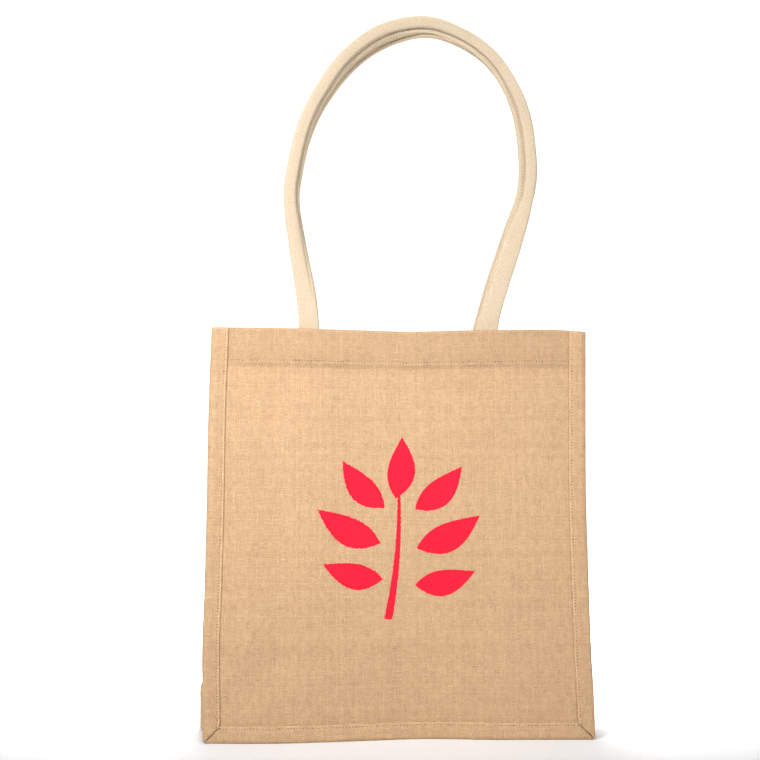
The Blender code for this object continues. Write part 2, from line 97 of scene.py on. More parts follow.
# Places from low to high, close together inside the fine bands
def steppedPlaces(low, high, coarse, fine=0.0, bands=()):
    places = [low]
    while places[-1] < high:
        here = places[-1]
        step = fine if any(start <= here <= finish for start, finish in bands) else coarse
        places.append(here + step if here + 1.5 * step < high else high)
    return places


# The bag's form, as in its solids

bag = {
    "topHeight": 0.418,        # the top edges wander about this height
    "wanderPower": 4,
    "swayHeight": 0.26,        # the base's wander has died out here
    "panelThick": 0.0020,
    "hemThick": 0.0032,
    "hemDepth": 0.036,
    "hemRamp": 0.003,
    "hemSwell": 0.0004,
    "borderWidth": 0.0175,
    "borderThick": 0.0024,
    "play": 0.0005,
    "clothThick": 0.0010,      # one layer of burlap
}

BodySection = namedtuple("BodySection", "height left right halfDepth bow fold")
bodySections = (
    BodySection(0.000, -0.1973, 0.2018, 0.0740, 0.0000, 0.0),
    BodySection(0.045, -0.1977, 0.2006, 0.0730, 0.0005, 0.0),
    BodySection(0.090, -0.1985, 0.1986, 0.0680, 0.0015, 20.0),
    BodySection(0.150, -0.1972, 0.1978, 0.0570, 0.0030, 38.0),
    BodySection(0.240, -0.1957, 0.1969, 0.0400, 0.0060, 88.0),
    BodySection(0.330, -0.1949, 0.1983, 0.0260, 0.0100, 88.0),
    BodySection(0.420, -0.1920, 0.1997, 0.0155, 0.0140, 88.0),
)

# Places across a panel run from -1 at its left side to 1 at its right side
Sway = namedtuple("Sway", "across shift")
baseSway = {
    front: (Sway(-1.00, -0.0085), Sway(-0.70, -0.0115), Sway(-0.50, -0.0085),
            Sway(-0.15, 0.0020), Sway(0.10, 0.0095), Sway(0.30, 0.0075),
            Sway(0.45, 0.0035), Sway(0.80, 0.0020), Sway(1.00, 0.0010)),
    back: (Sway(-1.00, -0.0050), Sway(-0.50, -0.0060), Sway(-0.10, 0.0010),
           Sway(0.30, 0.0060), Sway(1.00, 0.0030)),
}

TopEdge = namedtuple("TopEdge", "across height")
topEdges = {
    front: (TopEdge(-1.00, 0.4222), TopEdge(-0.86, 0.4221), TopEdge(-0.60, 0.4213),
            TopEdge(-0.20, 0.4189), TopEdge(0.05, 0.4176), TopEdge(0.40, 0.4191),
            TopEdge(0.85, 0.4198), TopEdge(1.00, 0.4178)),
    back: (TopEdge(-1.00, 0.4175), TopEdge(-0.40, 0.4180), TopEdge(0.10, 0.4162),
           TopEdge(0.60, 0.4184), TopEdge(1.00, 0.4190)),
}

# Soft hollows (height below 0) and swells in the cloth: middle, slope of the long axis in
# degrees, half length, half width, height
Crease = namedtuple("Crease", "x z angle halfLength halfWidth height")
creases = {
    front: (
        Crease(-0.150, 0.058, 43.0, 0.040, 0.013, -0.0034),
        Crease(0.120, 0.300, 80.0, 0.090, 0.030, -0.0010),
        Crease(-0.155, 0.090, 60.0, 0.040, 0.010, 0.0006),
        Crease(-0.112, 0.046, 30.0, 0.050, 0.009, 0.0005),
        Crease(0.165, 0.075, 112.0, 0.055, 0.011, -0.0008),
        Crease(-0.010, 0.045, 4.0, 0.080, 0.013, -0.0006),
        Crease(-0.150, 0.300, 96.0, 0.070, 0.020, 0.0006),
        Crease(0.040, 0.345, 8.0, 0.090, 0.012, -0.0005),
        Crease(-0.078, 0.300, 88.0, 0.160, 0.034, 0.0034),
        Crease(-0.155, 0.118, 8.0, 0.055, 0.030, 0.0030),
    ),
    back: (
        Crease(0.110, 0.110, 118.0, 0.070, 0.022, -0.0024),
        Crease(-0.080, 0.260, 70.0, 0.090, 0.030, -0.0014),
        Crease(-0.140, 0.070, 40.0, 0.045, 0.012, -0.0009),
        Crease(0.020, 0.330, 12.0, 0.090, 0.014, -0.0006),
        Crease(0.150, 0.250, 85.0, 0.070, 0.018, 0.0007),
    ),
}


def edgeLine(hand, height):
    return readTable(bodySections, height, "left" if hand < 0 else "right")


def sideLines(height):
    return edgeLine(-1, height), edgeLine(1, height)


# How far across a panel a place lies, from -1 to 1
def acrossAt(x, height):
    left, right = sideLines(height)
    return (2.0 * x - left - right) / (right - left)


def creaseHeight(side, x, z):
    total = 0.0
    for crease in creases[side]:
        angle = math.radians(crease.angle)
        along = (x - crease.x) * math.cos(angle) + (z - crease.z) * math.sin(angle)
        aside = (z - crease.z) * math.cos(angle) - (x - crease.x) * math.sin(angle)
        spread = (along / crease.halfLength) ** 2 + (aside / crease.halfWidth) ** 2
        if spread < 12.0:
            total += crease.height * math.exp(-spread)
    return total


def hemShare(z):
    hemBottom = bag["topHeight"] - bag["hemDepth"]
    return ease(z, hemBottom - bag["hemRamp"], hemBottom)


def panelThickness(z):
    return mix(bag["panelThick"], bag["hemThick"], hemShare(z))


# The fine relief on the panels: hem, seams, the handles' ends behind the hem, a slight waviness
relief = {
    "hemStitch": 0.3847,       # height of the hem's lower stitch row
    "hemTopStitch": 0.4158,    # and of the row below the top edge
    "hemStep": 0.0014,         # how far the hem stands proud of the panel below it
    "hemStepLow": 0.3776,
    "hemStepHigh": 0.3838,
    "stitchPull": 0.00030,     # how deep a stitch row draws the cloth in
    "stitchPullWidth": 0.0014,
    "tabSwell": 0.0006,        # the handles' ends press the hem out
    "tabHalfWidth": 0.0125,
    "tabLow": 0.3870,
    "tabFade": 0.0045,
    "tabPlaces": (-0.0895, 0.0935),
    "wave": 0.00028,
    "waveLow": 0.012,          # the waviness grows from here up to waveHigh
    "waveHigh": 0.050,
    "edgeQuiet": 0.010,        # beside the side seams the relief keeps only edgeShare of its height
    "edgeShare": 0.35,
    "edgeFade": 0.030,         # it grows over this distance further in
}


# A slight waviness of three crossing ripples, from about -2 to 2
def softWave(side, x, z):
    return (math.sin(61.0 * x + 23.0 * z + 1.3 * side)
            + 0.8 * math.sin(-37.0 * x + 71.0 * z + 0.7)
            + 0.6 * math.sin(104.0 * x - 58.0 * z + 2.1 * side))


def reliefAt(side, x, z):
    left, right = sideLines(z)
    fade = ease(min(x - left, right - x), relief["edgeQuiet"],
                relief["edgeQuiet"] + relief["edgeFade"])
    raised = relief["hemStep"] * ease(z, relief["hemStepLow"], relief["hemStepHigh"])
    raised -= bag["hemSwell"] * hemShare(z)
    for stitchHeight in (relief["hemStitch"], relief["hemTopStitch"]):
        raised -= relief["stitchPull"] * bump(z, stitchHeight, relief["stitchPullWidth"])
    for tabX in relief["tabPlaces"]:
        beside = 1.0 - ease(abs(x - tabX), relief["tabHalfWidth"] - relief["tabFade"],
                            relief["tabHalfWidth"] + relief["tabFade"])
        above = ease(z, relief["tabLow"] - relief["tabFade"], relief["tabLow"] + relief["tabFade"])
        raised += relief["tabSwell"] * beside * above
    raised += relief["wave"] * softWave(side, x, z) * ease(z, relief["waveLow"], relief["waveHigh"])
    return raised * mix(relief["edgeShare"], 1.0, fade)


# Where the outer face of a panel lies, along Y
def panelFace(side, x, z):
    across = min(1.0, max(-1.0, acrossAt(x, z)))
    depth = readTable(bodySections, z, "halfDepth")
    depth += readTable(bodySections, z, "bow") * (1.0 - across * across)
    depth += bag["hemSwell"] * hemShare(z)
    depth += creaseHeight(side, x, z)
    depth += reliefAt(side, x, z)
    fade = 1.0 - ease(z, 0.0, bag["swayHeight"])
    return side * depth + readTable(baseSway[side], across, "shift") * fade


# Height of a row where its top edge wanders up or down
def lifted(side, across, z):
    wander = readTable(topEdges[side], across, "height") - bag["topHeight"]
    return z + wander * (max(z, 0.0) / bag["topHeight"]) ** bag["wanderPower"]


# Meshes

# A grid of cloth with a point and a place on the flat cloth for each row and column. Seam places
# are measured from a seam: aside and along.
def clothGrid(name, points, flatPlaces, seamPlaces=None, closed=False):
    builder = bmesh.new()
    rows = len(points)
    columns = len(points[0])
    grid = bmesh.ops.create_grid(builder, x_segments=columns - 1, y_segments=rows - 1, size=0.5)
    vertices = grid["verts"]
    for index, vertex in enumerate(vertices):
        row, column = divmod(index, columns)
        vertex.co = points[row][column]
    maps = {"cloth": flatPlaces}
    if seamPlaces:
        maps["seam"] = seamPlaces
    for mapName, places in maps.items():
        uvLayer = builder.loops.layers.uv.new(mapName)
        flat = {vertex: places[index // columns][index % columns]
                for index, vertex in enumerate(vertices)}
        for face in builder.faces:
            face.smooth = True
            for loop in face.loops:
                loop[uvLayer].uv = flat[loop.vert]
    if closed:
        bmesh.ops.remove_doubles(builder, verts=builder.verts[:], dist=1e-6)
        rims = [edge for edge in builder.edges if edge.is_boundary]
        bmesh.ops.holes_fill(builder, edges=rims)
        bmesh.ops.recalc_face_normals(builder, faces=builder.faces[:])
    return newPiece(name, builder)


def newPiece(name, builder):
    mesh = bpy.data.meshes.new(name)
    builder.to_mesh(mesh)
    builder.free()
    piece = bpy.data.objects.new(name, mesh)
    bpy.context.scene.collection.objects.link(piece)
    return piece


def thicken(piece, thickness):
    solidify = piece.modifiers.new("clothThickness", "SOLIDIFY")
    solidify.thickness = thickness
    solidify.offset = 0.0
    solidify.use_even_offset = False
    return piece


# Front and back panel: the cloth goes up the outside, over the top and down inside, where its
# edge is turned up between the two layers

panel = {
    "bottom": 0.0024,
    "edgeInset": 0.0026,       # the cut edge stays this far inside the gusset's fold
    "cornerRadius": 0.0035,
    "flatWidth": 0.395,
    "columnStep": 0.0030,
    "rowStep": 0.0032,
    "fineStep": 0.0010,
    "fineBands": ((0.376, 0.3885), (0.4115, 0.4150)),
    "innerBands": ((0.378, 0.387), (0.4135, 0.4170)),
    "turnedUp": 0.0100,        # the edge that is turned up inside the hem
    "hemFoldHeight": 0.3800,
    "foldSteps": 8,
}

PathPoint = namedtuple("PathPoint", "height depth")


# The points inside a half turn of the cloth; a negative radius turns it at its lower end
def halfTurn(height, depth, radius):
    angles = [math.pi * step / panel["foldSteps"] for step in range(1, panel["foldSteps"])]
    return [PathPoint(height + radius * math.sin(angle), depth + radius * (1.0 - math.cos(angle)))
            for angle in angles]


# The cloth's middle line up the panel and round the hem: height and depth below the outer face
def panelPath():
    half = 0.5 * bag["clothThick"]
    topRadius = 0.5 * bag["hemThick"] - half
    topMiddle = bag["topHeight"] - half - topRadius
    innerDepth = bag["hemThick"] - half
    lowRadius = 0.25 * (innerDepth - half)
    lowMiddle = panel["hemFoldHeight"] + half + lowRadius
    outside = steppedPlaces(panel["bottom"], topMiddle, panel["rowStep"], panel["fineStep"],
                            panel["fineBands"])
    inside = steppedPlaces(lowMiddle, topMiddle, panel["rowStep"], panel["fineStep"],
                           panel["innerBands"])
    turned = steppedPlaces(lowMiddle, lowMiddle + panel["turnedUp"], panel["rowStep"])
    path = [PathPoint(height, half) for height in outside]
    path += halfTurn(topMiddle, half, topRadius)
    path += [PathPoint(height, innerDepth) for height in reversed(inside)]
    path += halfTurn(lowMiddle, innerDepth, -lowRadius)
    return path + [PathPoint(height, innerDepth - 2.0 * lowRadius) for height in turned]


def makePanel(name, side):
    path = panelPath()
    lengths = [0.0]
    for before, after in zip(path, path[1:]):
        lengths.append(lengths[-1] + math.hypot(after.height - before.height,
                                                after.depth - before.depth))
    columns = round(panel["flatWidth"] / panel["columnStep"])
    points = []
    places = []
    for step, length in zip(path, lengths):
        left, right = sideLines(step.height)
        drop = max(0.0, panel["cornerRadius"] - (step.height - panel["bottom"]))
        roundOff = panel["cornerRadius"] - math.sqrt(panel["cornerRadius"] ** 2 - drop ** 2)
        left += panel["edgeInset"] + roundOff
        right -= panel["edgeInset"] + roundOff
        row = []
        flat = []
        for column in range(columns + 1):
            share = column / columns
            x = mix(left, right, share)
            y = panelFace(side, x, step.height) - side * step.depth
            row.append(Vector((x, y, lifted(side, 2.0 * share - 1.0, step.height))))
            flat.append((x, panel["bottom"] + length))
        points.append(row)
        places.append(flat)
    piece = clothGrid(name, points, places)
    thicken(piece, bag["clothThick"])
    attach(piece, "root")
    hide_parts("front_panel" if side == front else "back_panel")
    return piece


# Gusset: three strips. Each margin is turned under, laid over the panel's edge and sewn down.

gusset = {
    "solidThick": 0.0016,
    "clothWidth": 0.147,       # cloth between the two folded margins
    "flatWidth": 0.209,        # and with the margins unfolded
    "waveLimit": 0.14,
    "cornerRadius": 0.003,
    "bulge": {-1: 0.0075, 1: 0.0050},    # the middle of each side stands out near the ground
    "bulgeLow": 0.040,
    "bulgeHigh": 0.078,
    "bulgePower": 4,
    "bulgeRun": 0.070,
    "foldStart": 0.019,        # the side webs fold inwards from here up
    "topDip": 0.004,
    "dipPower": 6,
    "roundCrease": 0.30,
    "sharpCrease": 0.035,
    "creaseLow": 0.05,
    "creaseHigh": 0.24,
    "walkSteps": 200,
    "halvings": 24,
    "foldSteps": 8,
    "rowStep": 0.0034,
    "fineStep": 0.0015,
    "fineBands": ((0.376, 0.3885),),
    "cornerStep": 0.0012,      # rows lie this close together up to cornerEnd
    "cornerEnd": 0.0090,
    "underStart": 0.0050,      # the turned margin's hidden edge, in from the bag's edge
    "underGap": 0.00005,
    "underSteps": 3,
    "lipSteps": 6,
    "marginSteps": 7,
    "marginLow": 0.004,        # the margin rises from its lip to here
    "marginEnds": (0.0026, 0.0006),    # its last rows, in from the stitches and from the fold
    "stitchRows": (0.0010, 0.0, -0.0012),    # its rows at the stitches
    "stitchInset": 0.0027,     # the stitch row, out from the margin's inner edge
    "lipRadius": 0.00048,
    "stitchPull": 0.00030,
    "stitchPullWidth": 0.0012,
    "marginCrown": 0.00045,
    "mitreLap": 0.0007,        # the side strips' ends lie over the bottom strip's
    "mitreRise": 0.0013,
    "mitreRun": 0.013,
    "mitreStitch": 0.0160,     # the stitches rise with the mitre from this height down
}
webShares = [0.02 * step for step in range(1, 23)] + [0.45 + 0.0125 * step for step in range(9)]
webShares += [0.56 + 0.02 * step for step in range(22)]

# Where a section meets the bag's edge and where it meets the margin's inner edge, both measured
# from the corner
Fan = namedtuple("Fan", "edge lip")
mitreFan = (Fan(0.0015, 0.0175), Fan(0.0050, 0.0205), Fan(0.0190, 0.0290), Fan(0.0400, 0.0400),
            Fan(0.0700, 0.0700))

farFromSeam = 0.05             # aside place of cloth that no needle goes through

def lipPlace(edgePlace):
    if edgePlace >= mitreFan[-2].edge:
        return edgePlace
    return readTable(mitreFan, edgePlace, "lip")


# Turn of the folded web along its width, from 1 to -1; a low softness gives a sharp fold
def creaseTurn(share, softness):
    return math.tanh((0.5 - share) / softness) / math.tanh(0.5 / softness)


# Points along cloth of length 1 between its folds: (inward, back)
def walkWeb(fold, flankWave, softness):
    steps = gusset["walkSteps"]
    points = [(0.0, 0.0)]
    for step in range(steps):
        share = (step + 0.5) / steps
        angle = fold * creaseTurn(share, softness) - flankWave * math.sin(4.0 * math.pi * share)
        inward, backward = points[-1]
        points.append((inward + math.sin(angle) / steps, backward + math.cos(angle) / steps))
    return points


# The fold and flank wave with which the gusset's whole cloth spans the width
def solveWeb(width, foldLimit, foldRadius, softness):
    def spare(fold, flankWave):
        span = width - 2.0 * foldRadius * math.sin(fold)
        return gusset["clothWidth"] * walkWeb(fold, flankWave, softness)[-1][1] - span

    def halved(reach, spareAt):
        low = 0.0
        high = reach
        for _ in range(gusset["halvings"]):
            middle = 0.5 * (low + high)
            if spareAt(middle) < 0.0:
                high = middle
            else:
                low = middle
        return low

    if spare(0.0, 0.0) <= 0.0:
        return 0.0, 0.0
    if spare(foldLimit, 0.0) < 0.0:
        return halved(foldLimit, lambda fold: spare(fold, 0.0)), 0.0
    return foldLimit, halved(gusset["waveLimit"], lambda wave: spare(foldLimit, wave))


# The strip's section between its margins, from one panel's edge to the other's: (inward, y).
# Without a fold limit the cloth lies flat.
def webSection(frontMiddle, backMiddle, thick, foldLimit, softness):
    half = 0.5 * gusset["solidThick"]
    radius = 0.5 * thick + bag["play"] + half
    centre = gusset["solidThick"] + bag["play"] + 0.5 * thick
    fold, flankWave = 0.0, 0.0
    if foldLimit:
        fold, flankWave = solveWeb(backMiddle - frontMiddle, foldLimit, radius, softness)
    sweep = 0.5 * math.pi + fold
    frontFold = []
    backFold = []
    outward = []
    for step in range(gusset["foldSteps"] + 1):
        share = step / gusset["foldSteps"]
        angle = sweep * share
        inward = centre - radius * math.sin(angle)
        frontFold.append((inward, frontMiddle - radius * math.cos(angle)))
        backFold.append((inward, backMiddle + radius * math.cos(angle)))
        outward.append(mix(bag["borderThick"] - half, half, share) - 0.5 * bag["clothThick"])
    walk = walkWeb(fold, flankWave, softness)
    startInward, startY = frontFold[-1]
    endY = backFold[-1][1]
    stretch = (endY - startY) / walk[-1][1]
    web = []
    for share in webShares:
        inward, backward = walk[round(share * gusset["walkSteps"])]
        web.append((startInward + gusset["clothWidth"] * inward, startY + stretch * backward))
    line = frontFold + web + backFold[::-1]
    distances = outward + [outward[-1]] * len(web) + outward[::-1]
    moved = []
    for index, (inward, y) in enumerate(line):
        before = line[max(index - 1, 0)]
        after = line[min(index + 1, len(line) - 1)]
        runInward = after[0] - before[0]
        runY = after[1] - before[1]
        length = math.hypot(runInward, runY)
        moved.append((inward - runY / length * distances[index],
                      y + runInward / length * distances[index]))
    return moved


# A margin's middle line from its hidden edge round the lip and back: (in from the bag's edge,
# out from the panel's face). It lies close at the lip and rises towards the bag's edge.
def marginPath(rise):
    half = 0.5 * bag["clothThick"]
    under = gusset["underGap"] + half
    radius = gusset["lipRadius"]
    lipTop = under + 2.0 * radius
    edgeTop = bag["play"] + bag["borderThick"] - half
    lipMiddle = bag["borderWidth"] - half - radius
    path = []
    for step in range(gusset["underSteps"]):
        path.append((mix(gusset["underStart"], lipMiddle, step / gusset["underSteps"]), under + rise))
    for step in range(gusset["lipSteps"] + 1):
        angle = math.pi * step / gusset["lipSteps"]
        path.append((lipMiddle + radius * math.sin(angle),
                     under + radius * (1.0 - math.cos(angle)) + rise))
    stitch = bag["borderWidth"] - gusset["stitchInset"]
    last = gusset["solidThick"] + bag["play"] + 0.5 * bag["hemThick"]
    afterStitch, beforeFold = gusset["marginEnds"]
    places = [stitch + row for row in gusset["stitchRows"]]
    places += [mix(stitch - afterStitch, last + beforeFold, step / gusset["marginSteps"])
               for step in range(gusset["marginSteps"] + 1)]
    for place in places:
        share = ease(place, gusset["marginLow"], stitch)
        pull = gusset["stitchPull"] * bump(place, stitch, gusset["stitchPullWidth"])
        crown = gusset["marginCrown"] * math.sin(math.pi * max(0.0, min(1.0, place / stitch)))
        path.append((place, mix(edgeTop, lipTop, share) - pull + crown + rise))
    return path


# One section of a strip. The edge and lip points are (x, z); rollOut moves the cloth between the
# folds sideways along X.
def stripSection(edgePoint, lipPoint, inwardDirection, height, foldLimit, softness, rollOut, rise):
    edgeX, edgeZ = edgePoint
    thick = panelThickness(height)
    middles = [panelFace(side, edgeX, height) - side * 0.5 * thick for side in (front, back)]
    margins = {}
    for side in (front, back):
        margins[side] = []
        for inward, out in marginPath(rise):
            share = inward / bag["borderWidth"]
            x = mix(edgeX, lipPoint[0], share)
            z = mix(edgeZ, lipPoint[1], share)
            margins[side].append(Vector((x, panelFace(side, x, max(z, 0.0)) + side * out, z)))
    section = webSection(middles[0], middles[1], thick, foldLimit, softness)
    web = []
    folds = gusset["foldSteps"] + 1
    for index, (inward, y) in enumerate(section):
        along = (index - folds + 1) / (len(section) - 2 * folds + 1)
        roll = math.sin(math.pi * min(1.0, max(0.0, along))) ** gusset["bulgePower"] * rollOut
        nearEnd = 1.0 - ease(min(index, len(section) - 1 - index), 0.0, folds)
        outward = rise * nearEnd * (front if index < folds else back)
        web.append(Vector((edgeX + inwardDirection[0] * inward + roll,
                           y + (outward if index < folds or index >= len(section) - folds else 0.0),
                           edgeZ + inwardDirection[1] * inward)))
    return margins[front] + web + margins[back][::-1]


# Follows the panels' top edges at both ends and dips between them
def raiseTop(section, hand, height):
    frontTop = lifted(front, hand, height) - height
    backTop = lifted(back, hand, height) - height
    margin = len(marginPath(0.0)) + gusset["foldSteps"]
    count = len(section) - 1 - 2 * margin
    for index, point in enumerate(section):
        share = min(1.0, max(0.0, (index - margin) / count))
        dip = gusset["topDip"] * math.sin(math.pi * share) ** 2
        dip *= (height / bag["topHeight"]) ** gusset["dipPower"]
        point.z += mix(frontTop, backTop, share) - dip
    return section


# How far the cloth has turned round the bag's bottom corner
def cornerTurn(edgePlace):
    if edgePlace >= gusset["cornerRadius"]:
        return 0.0
    return math.asin(1.0 - edgePlace / gusset["cornerRadius"])


def sideSection(hand, edgePlace):
    edgeX = edgeLine(hand, edgePlace)
    turn = cornerTurn(edgePlace)
    x = edgeX - hand * gusset["cornerRadius"] * (1.0 - math.cos(turn))
    softness = mix(gusset["roundCrease"], gusset["sharpCrease"],
                   ease(edgePlace, gusset["creaseLow"], gusset["creaseHigh"]))
    folding = ease(edgePlace, gusset["cornerRadius"], gusset["foldStart"])
    foldLimit = math.radians(readTable(bodySections, edgePlace, "fold")) * folding
    bulging = 1.0 - ease(edgePlace, gusset["bulgeLow"], gusset["bulgeHigh"])
    rollOut = hand * gusset["bulge"][hand] * bulging
    nearness = 1.0 - ease(edgePlace, 0.0, gusset["mitreRun"])
    lap = gusset["mitreLap"] * nearness
    lipPoint = (edgeX - hand * (bag["borderWidth"] - lap), lipPlace(edgePlace) - lap)
    direction = (-hand * math.cos(turn), math.sin(turn))
    section = stripSection((x, edgePlace), lipPoint, direction, edgePlace, foldLimit, softness,
                           rollOut, gusset["mitreRise"] * nearness)
    return raiseTop(section, hand, edgePlace)


# How far each point of a section lies from the nearer margin's lip, and its place along the seam
def seamRow(section, alongs):
    margin = [bag["borderWidth"] - inward for inward, _ in marginPath(0.0)]
    hidden = gusset["underSteps"]
    margin[:hidden] = [farFromSeam] * hidden
    asides = margin + [farFromSeam] * (len(section) - 2 * len(margin)) + margin[::-1]
    return list(zip(asides, alongs))


# The section's running length and each point's place along the piece
def flatRow(section, alongs):
    lengths = [0.0]
    for before, after in zip(section, section[1:]):
        lengths.append(lengths[-1] + (after - before).length)
    return list(zip(lengths, alongs))


# Places of a strip's sections, in from the bottom corner
def stripPlaces(end, bands=()):
    corner = steppedPlaces(mitreFan[0].edge, gusset["cornerEnd"], gusset["cornerStep"])
    return corner + steppedPlaces(gusset["cornerEnd"], end, gusset["rowStep"], gusset["fineStep"],
                                  bands)[1:]


# Where a seam across the bag has its first stitch, beside the left side strip
def seamStartAt(height):
    return edgeLine(-1, height) + bag["borderWidth"] + stitching["seamStart"]


# A strip from its sections; it runs along the given axis, and its stitches start at seamStart
def makeStrip(name, node, points, axis, seamStart):
    places = [flatRow(section, [point[axis] for point in section]) for section in points]
    seams = [seamRow(section, [point[axis] - seamStart for point in section]) for section in points]
    piece = clothGrid(name, points, places, seams)
    thicken(piece, bag["clothThick"])
    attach(piece, "root")
    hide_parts(node)
    return piece


def makeSideStrip(name, hand, node):
    points = [sideSection(hand, place) for place in stripPlaces(bag["topHeight"], gusset["fineBands"])]
    return makeStrip(name, node, points, 2, stitching["sideStart"])


def bottomSection(hand, edgePlace):
    turn = 0.5 * math.pi - cornerTurn(edgePlace)
    edgeX = edgeLine(hand, 0.0) - hand * edgePlace
    z = gusset["cornerRadius"] * (1.0 - math.sin(turn))
    if edgePlace >= gusset["cornerRadius"]:
        z = 0.0
    rollOut = hand * gusset["bulge"][hand] * (1.0 - ease(edgePlace, 0.0, gusset["bulgeRun"]))
    lipX = edgeLine(hand, 0.0) - hand * lipPlace(edgePlace)
    direction = (-hand * math.cos(turn), math.sin(turn))
    return stripSection((edgeX, z), (lipX, bag["borderWidth"]), direction, max(z, 0.0), 0.0,
                        gusset["roundCrease"], rollOut, 0.0)


def makeBottomStrip(name, node):
    left, right = sideLines(0.0)
    places = stripPlaces(0.5 * (right - left))
    points = [bottomSection(-1, place) for place in places]
    points += [bottomSection(1, place) for place in reversed(places[:-1])]
    return makeStrip(name, node, points, 0, seamStartAt(0.0))


# Handles: webbing round a padding cord, its two edges sewn together as a fin on the inside of
# the loop, its ends pressed flat behind the hem

handle = {
    "tubeAcross": 0.0063,
    "tubeThrough": 0.0052,
    "tubeShift": 0.0024,
    "tubeSquareness": 0.50,
    "tubeTurn": 0.25,          # share of the turn that the tube takes; the fin bends for the rest
    "tubeSeam": 168.0,         # the groove lies this far round the tube (degrees)
    "finReach": 0.0087,
    "finTuck": 0.27,           # the fin is this much shorter on the arch's left, longer on its right
    "finTuckLeft": (-0.1085, 0.028),   # middle and half width of these two places
    "finTuckRight": (0.138, 0.012),
    "finRoot": 0.0036,
    "finHalf": 0.0020,
    "finRootHalf": 0.0017,     # half the fin's thickness where the seam pinches it
    "finSlit": 0.0008,         # depth of the slit between the webbing's two edges
    "tabHalfWidth": 0.0116,
    "tabHalfThick": 0.0021,
    "tabSquareness": 0.35,
    "tabClear": 0.0007,
    "tabTop": 0.4225,
    "leanEnd": 0.500,
    "topGap": 0.0200,
    "wobble": 0.022,           # how unevenly the padding fills the webbing
    "backShift": 0.0020,
    "backShiftRise": (0.66, 0.72),     # it starts this high on the arch's left
    "backDrop": 0.0015,
    "backLegShift": 0.0028,    # the back handle's legs stand further in
    "backLegShares": {-1: 0.7, 1: -0.3},     # and this much of it on each side
    "backLegHeight": 0.485,
    "backLegRun": 0.050,
    "backArchShift": 0.0042,   # the right side of its arch stands further out
    "backArchAcross": (0.0, 0.090),
    "backArchRise": (0.50, 0.60),
    "backTopAcross": (-0.02, 0.05),    # and its top further up
    "backTopRise": (0.60, 0.68),
    "tubePoints": 34,
    "ringStep": 0.0021,
    "sewnShare": 0.85,         # the fin is sewn where the section is padded at least this much
    "stitchPitch": 0.0034,
    "stitchPlace": 0.0046,     # the seam's stitches, in from the handle's middle
}

HandlePoint = namedtuple("HandlePoint", "x z turn")
handlePath = (
    HandlePoint(-0.0890, 0.3850, 0.0),
    HandlePoint(-0.0899, 0.4225, 5.0),
    HandlePoint(-0.0944, 0.4620, 36.0),
    HandlePoint(-0.1032, 0.5120, 38.0),
    HandlePoint(-0.1085, 0.5560, 34.0),
    HandlePoint(-0.1052, 0.5880, 30.0),
    HandlePoint(-0.0945, 0.6320, 28.0),
    HandlePoint(-0.0760, 0.6700, 28.0),
    HandlePoint(-0.0490, 0.7060, 28.0),
    HandlePoint(-0.0130, 0.7310, 24.0),
    HandlePoint(0.0300, 0.7390, 14.0),
    HandlePoint(0.0680, 0.7270, 0.0),
    HandlePoint(0.0990, 0.7045, -12.0),
    HandlePoint(0.1200, 0.6740, -16.0),
    HandlePoint(0.1332, 0.6400, -18.0),
    HandlePoint(0.1388, 0.5920, -16.0),
    HandlePoint(0.1352, 0.5560, -12.0),
    HandlePoint(0.1208, 0.5060, -8.0),
    HandlePoint(0.1072, 0.4640, -4.0),
    HandlePoint(0.0960, 0.4225, 0.0),
    HandlePoint(0.0920, 0.3850, 0.0),
)


# How much of the padded section each leg has, from its flat end up
LegForm = namedtuple("LegForm", "z tube")
legForms = {
    -1: (LegForm(0.4225, 0.0), LegForm(0.4360, 0.20), LegForm(0.4700, 0.44), LegForm(0.4970, 0.70),
         LegForm(0.5250, 0.90), LegForm(0.5560, 1.0), LegForm(0.6000, 1.0)),
    1: (LegForm(0.4225, 0.0), LegForm(0.4360, 0.32), LegForm(0.5000, 0.36), LegForm(0.5300, 0.60),
        LegForm(0.5600, 1.0), LegForm(0.6000, 1.0)),
}


def tubeShareAt(x, z):
    rows = legForms[-1 if x < 0.0 else 1]
    if z >= rows[-2].z:
        return 1.0
    return min(1.0, max(0.0, readTable(rows, z, "tube"))) if z > rows[0].z else 0.0


def loopPoints(side):
    points = []
    for row in handlePath:
        rise = ease(row.z, handle["tabTop"], handlePath[len(handlePath) // 2].z)
        x = row.x
        z = row.z
        if side == back:
            hand = 1 if x > 0.0 else -1
            x += handle["backShift"] * (rise if hand > 0 else ease(row.z, *handle["backShiftRise"]))
            z -= handle["backDrop"] * rise
            inward = handle["backLegShares"][hand] * handle["backLegShift"]
            x += inward * bump(row.z, handle["backLegHeight"], handle["backLegRun"])
            x += (handle["backArchShift"] * ease(row.x, *handle["backArchAcross"])
                  * ease(row.z, *handle["backArchRise"]))
            z += (handle["backArchShift"] * ease(row.x, *handle["backTopAcross"])
                  * ease(row.z, *handle["backTopRise"]))
        points.append((x, z, row.turn if side == front else -row.turn))
    return points


# A point of the loop and its direction, with place counted in points of the path
def smoothLoop(points, place):
    last = len(points) - 1
    index = min(int(place), last - 1)
    start = points[index]
    finish = points[index + 1]
    before = points[index - 1] if index > 0 else [2.0 * a - b for a, b in zip(start, finish)]
    after = points[index + 2] if index + 2 <= last else [2.0 * b - a for a, b in zip(start, finish)]
    spans = [smoothSpan(p1, p2, 0.5 * (p2 - p0), 0.5 * (p3 - p1), place - index)
             for p0, p1, p2, p3 in zip(before, start, finish, after)]
    return [value for value, _ in spans], [slope for _, slope in spans]


# How much of the padded section the handle has at a place along the loop
def paddedShare(points, place):
    (x, z, _), _ = smoothLoop(points, place)
    return tubeShareAt(x, z)


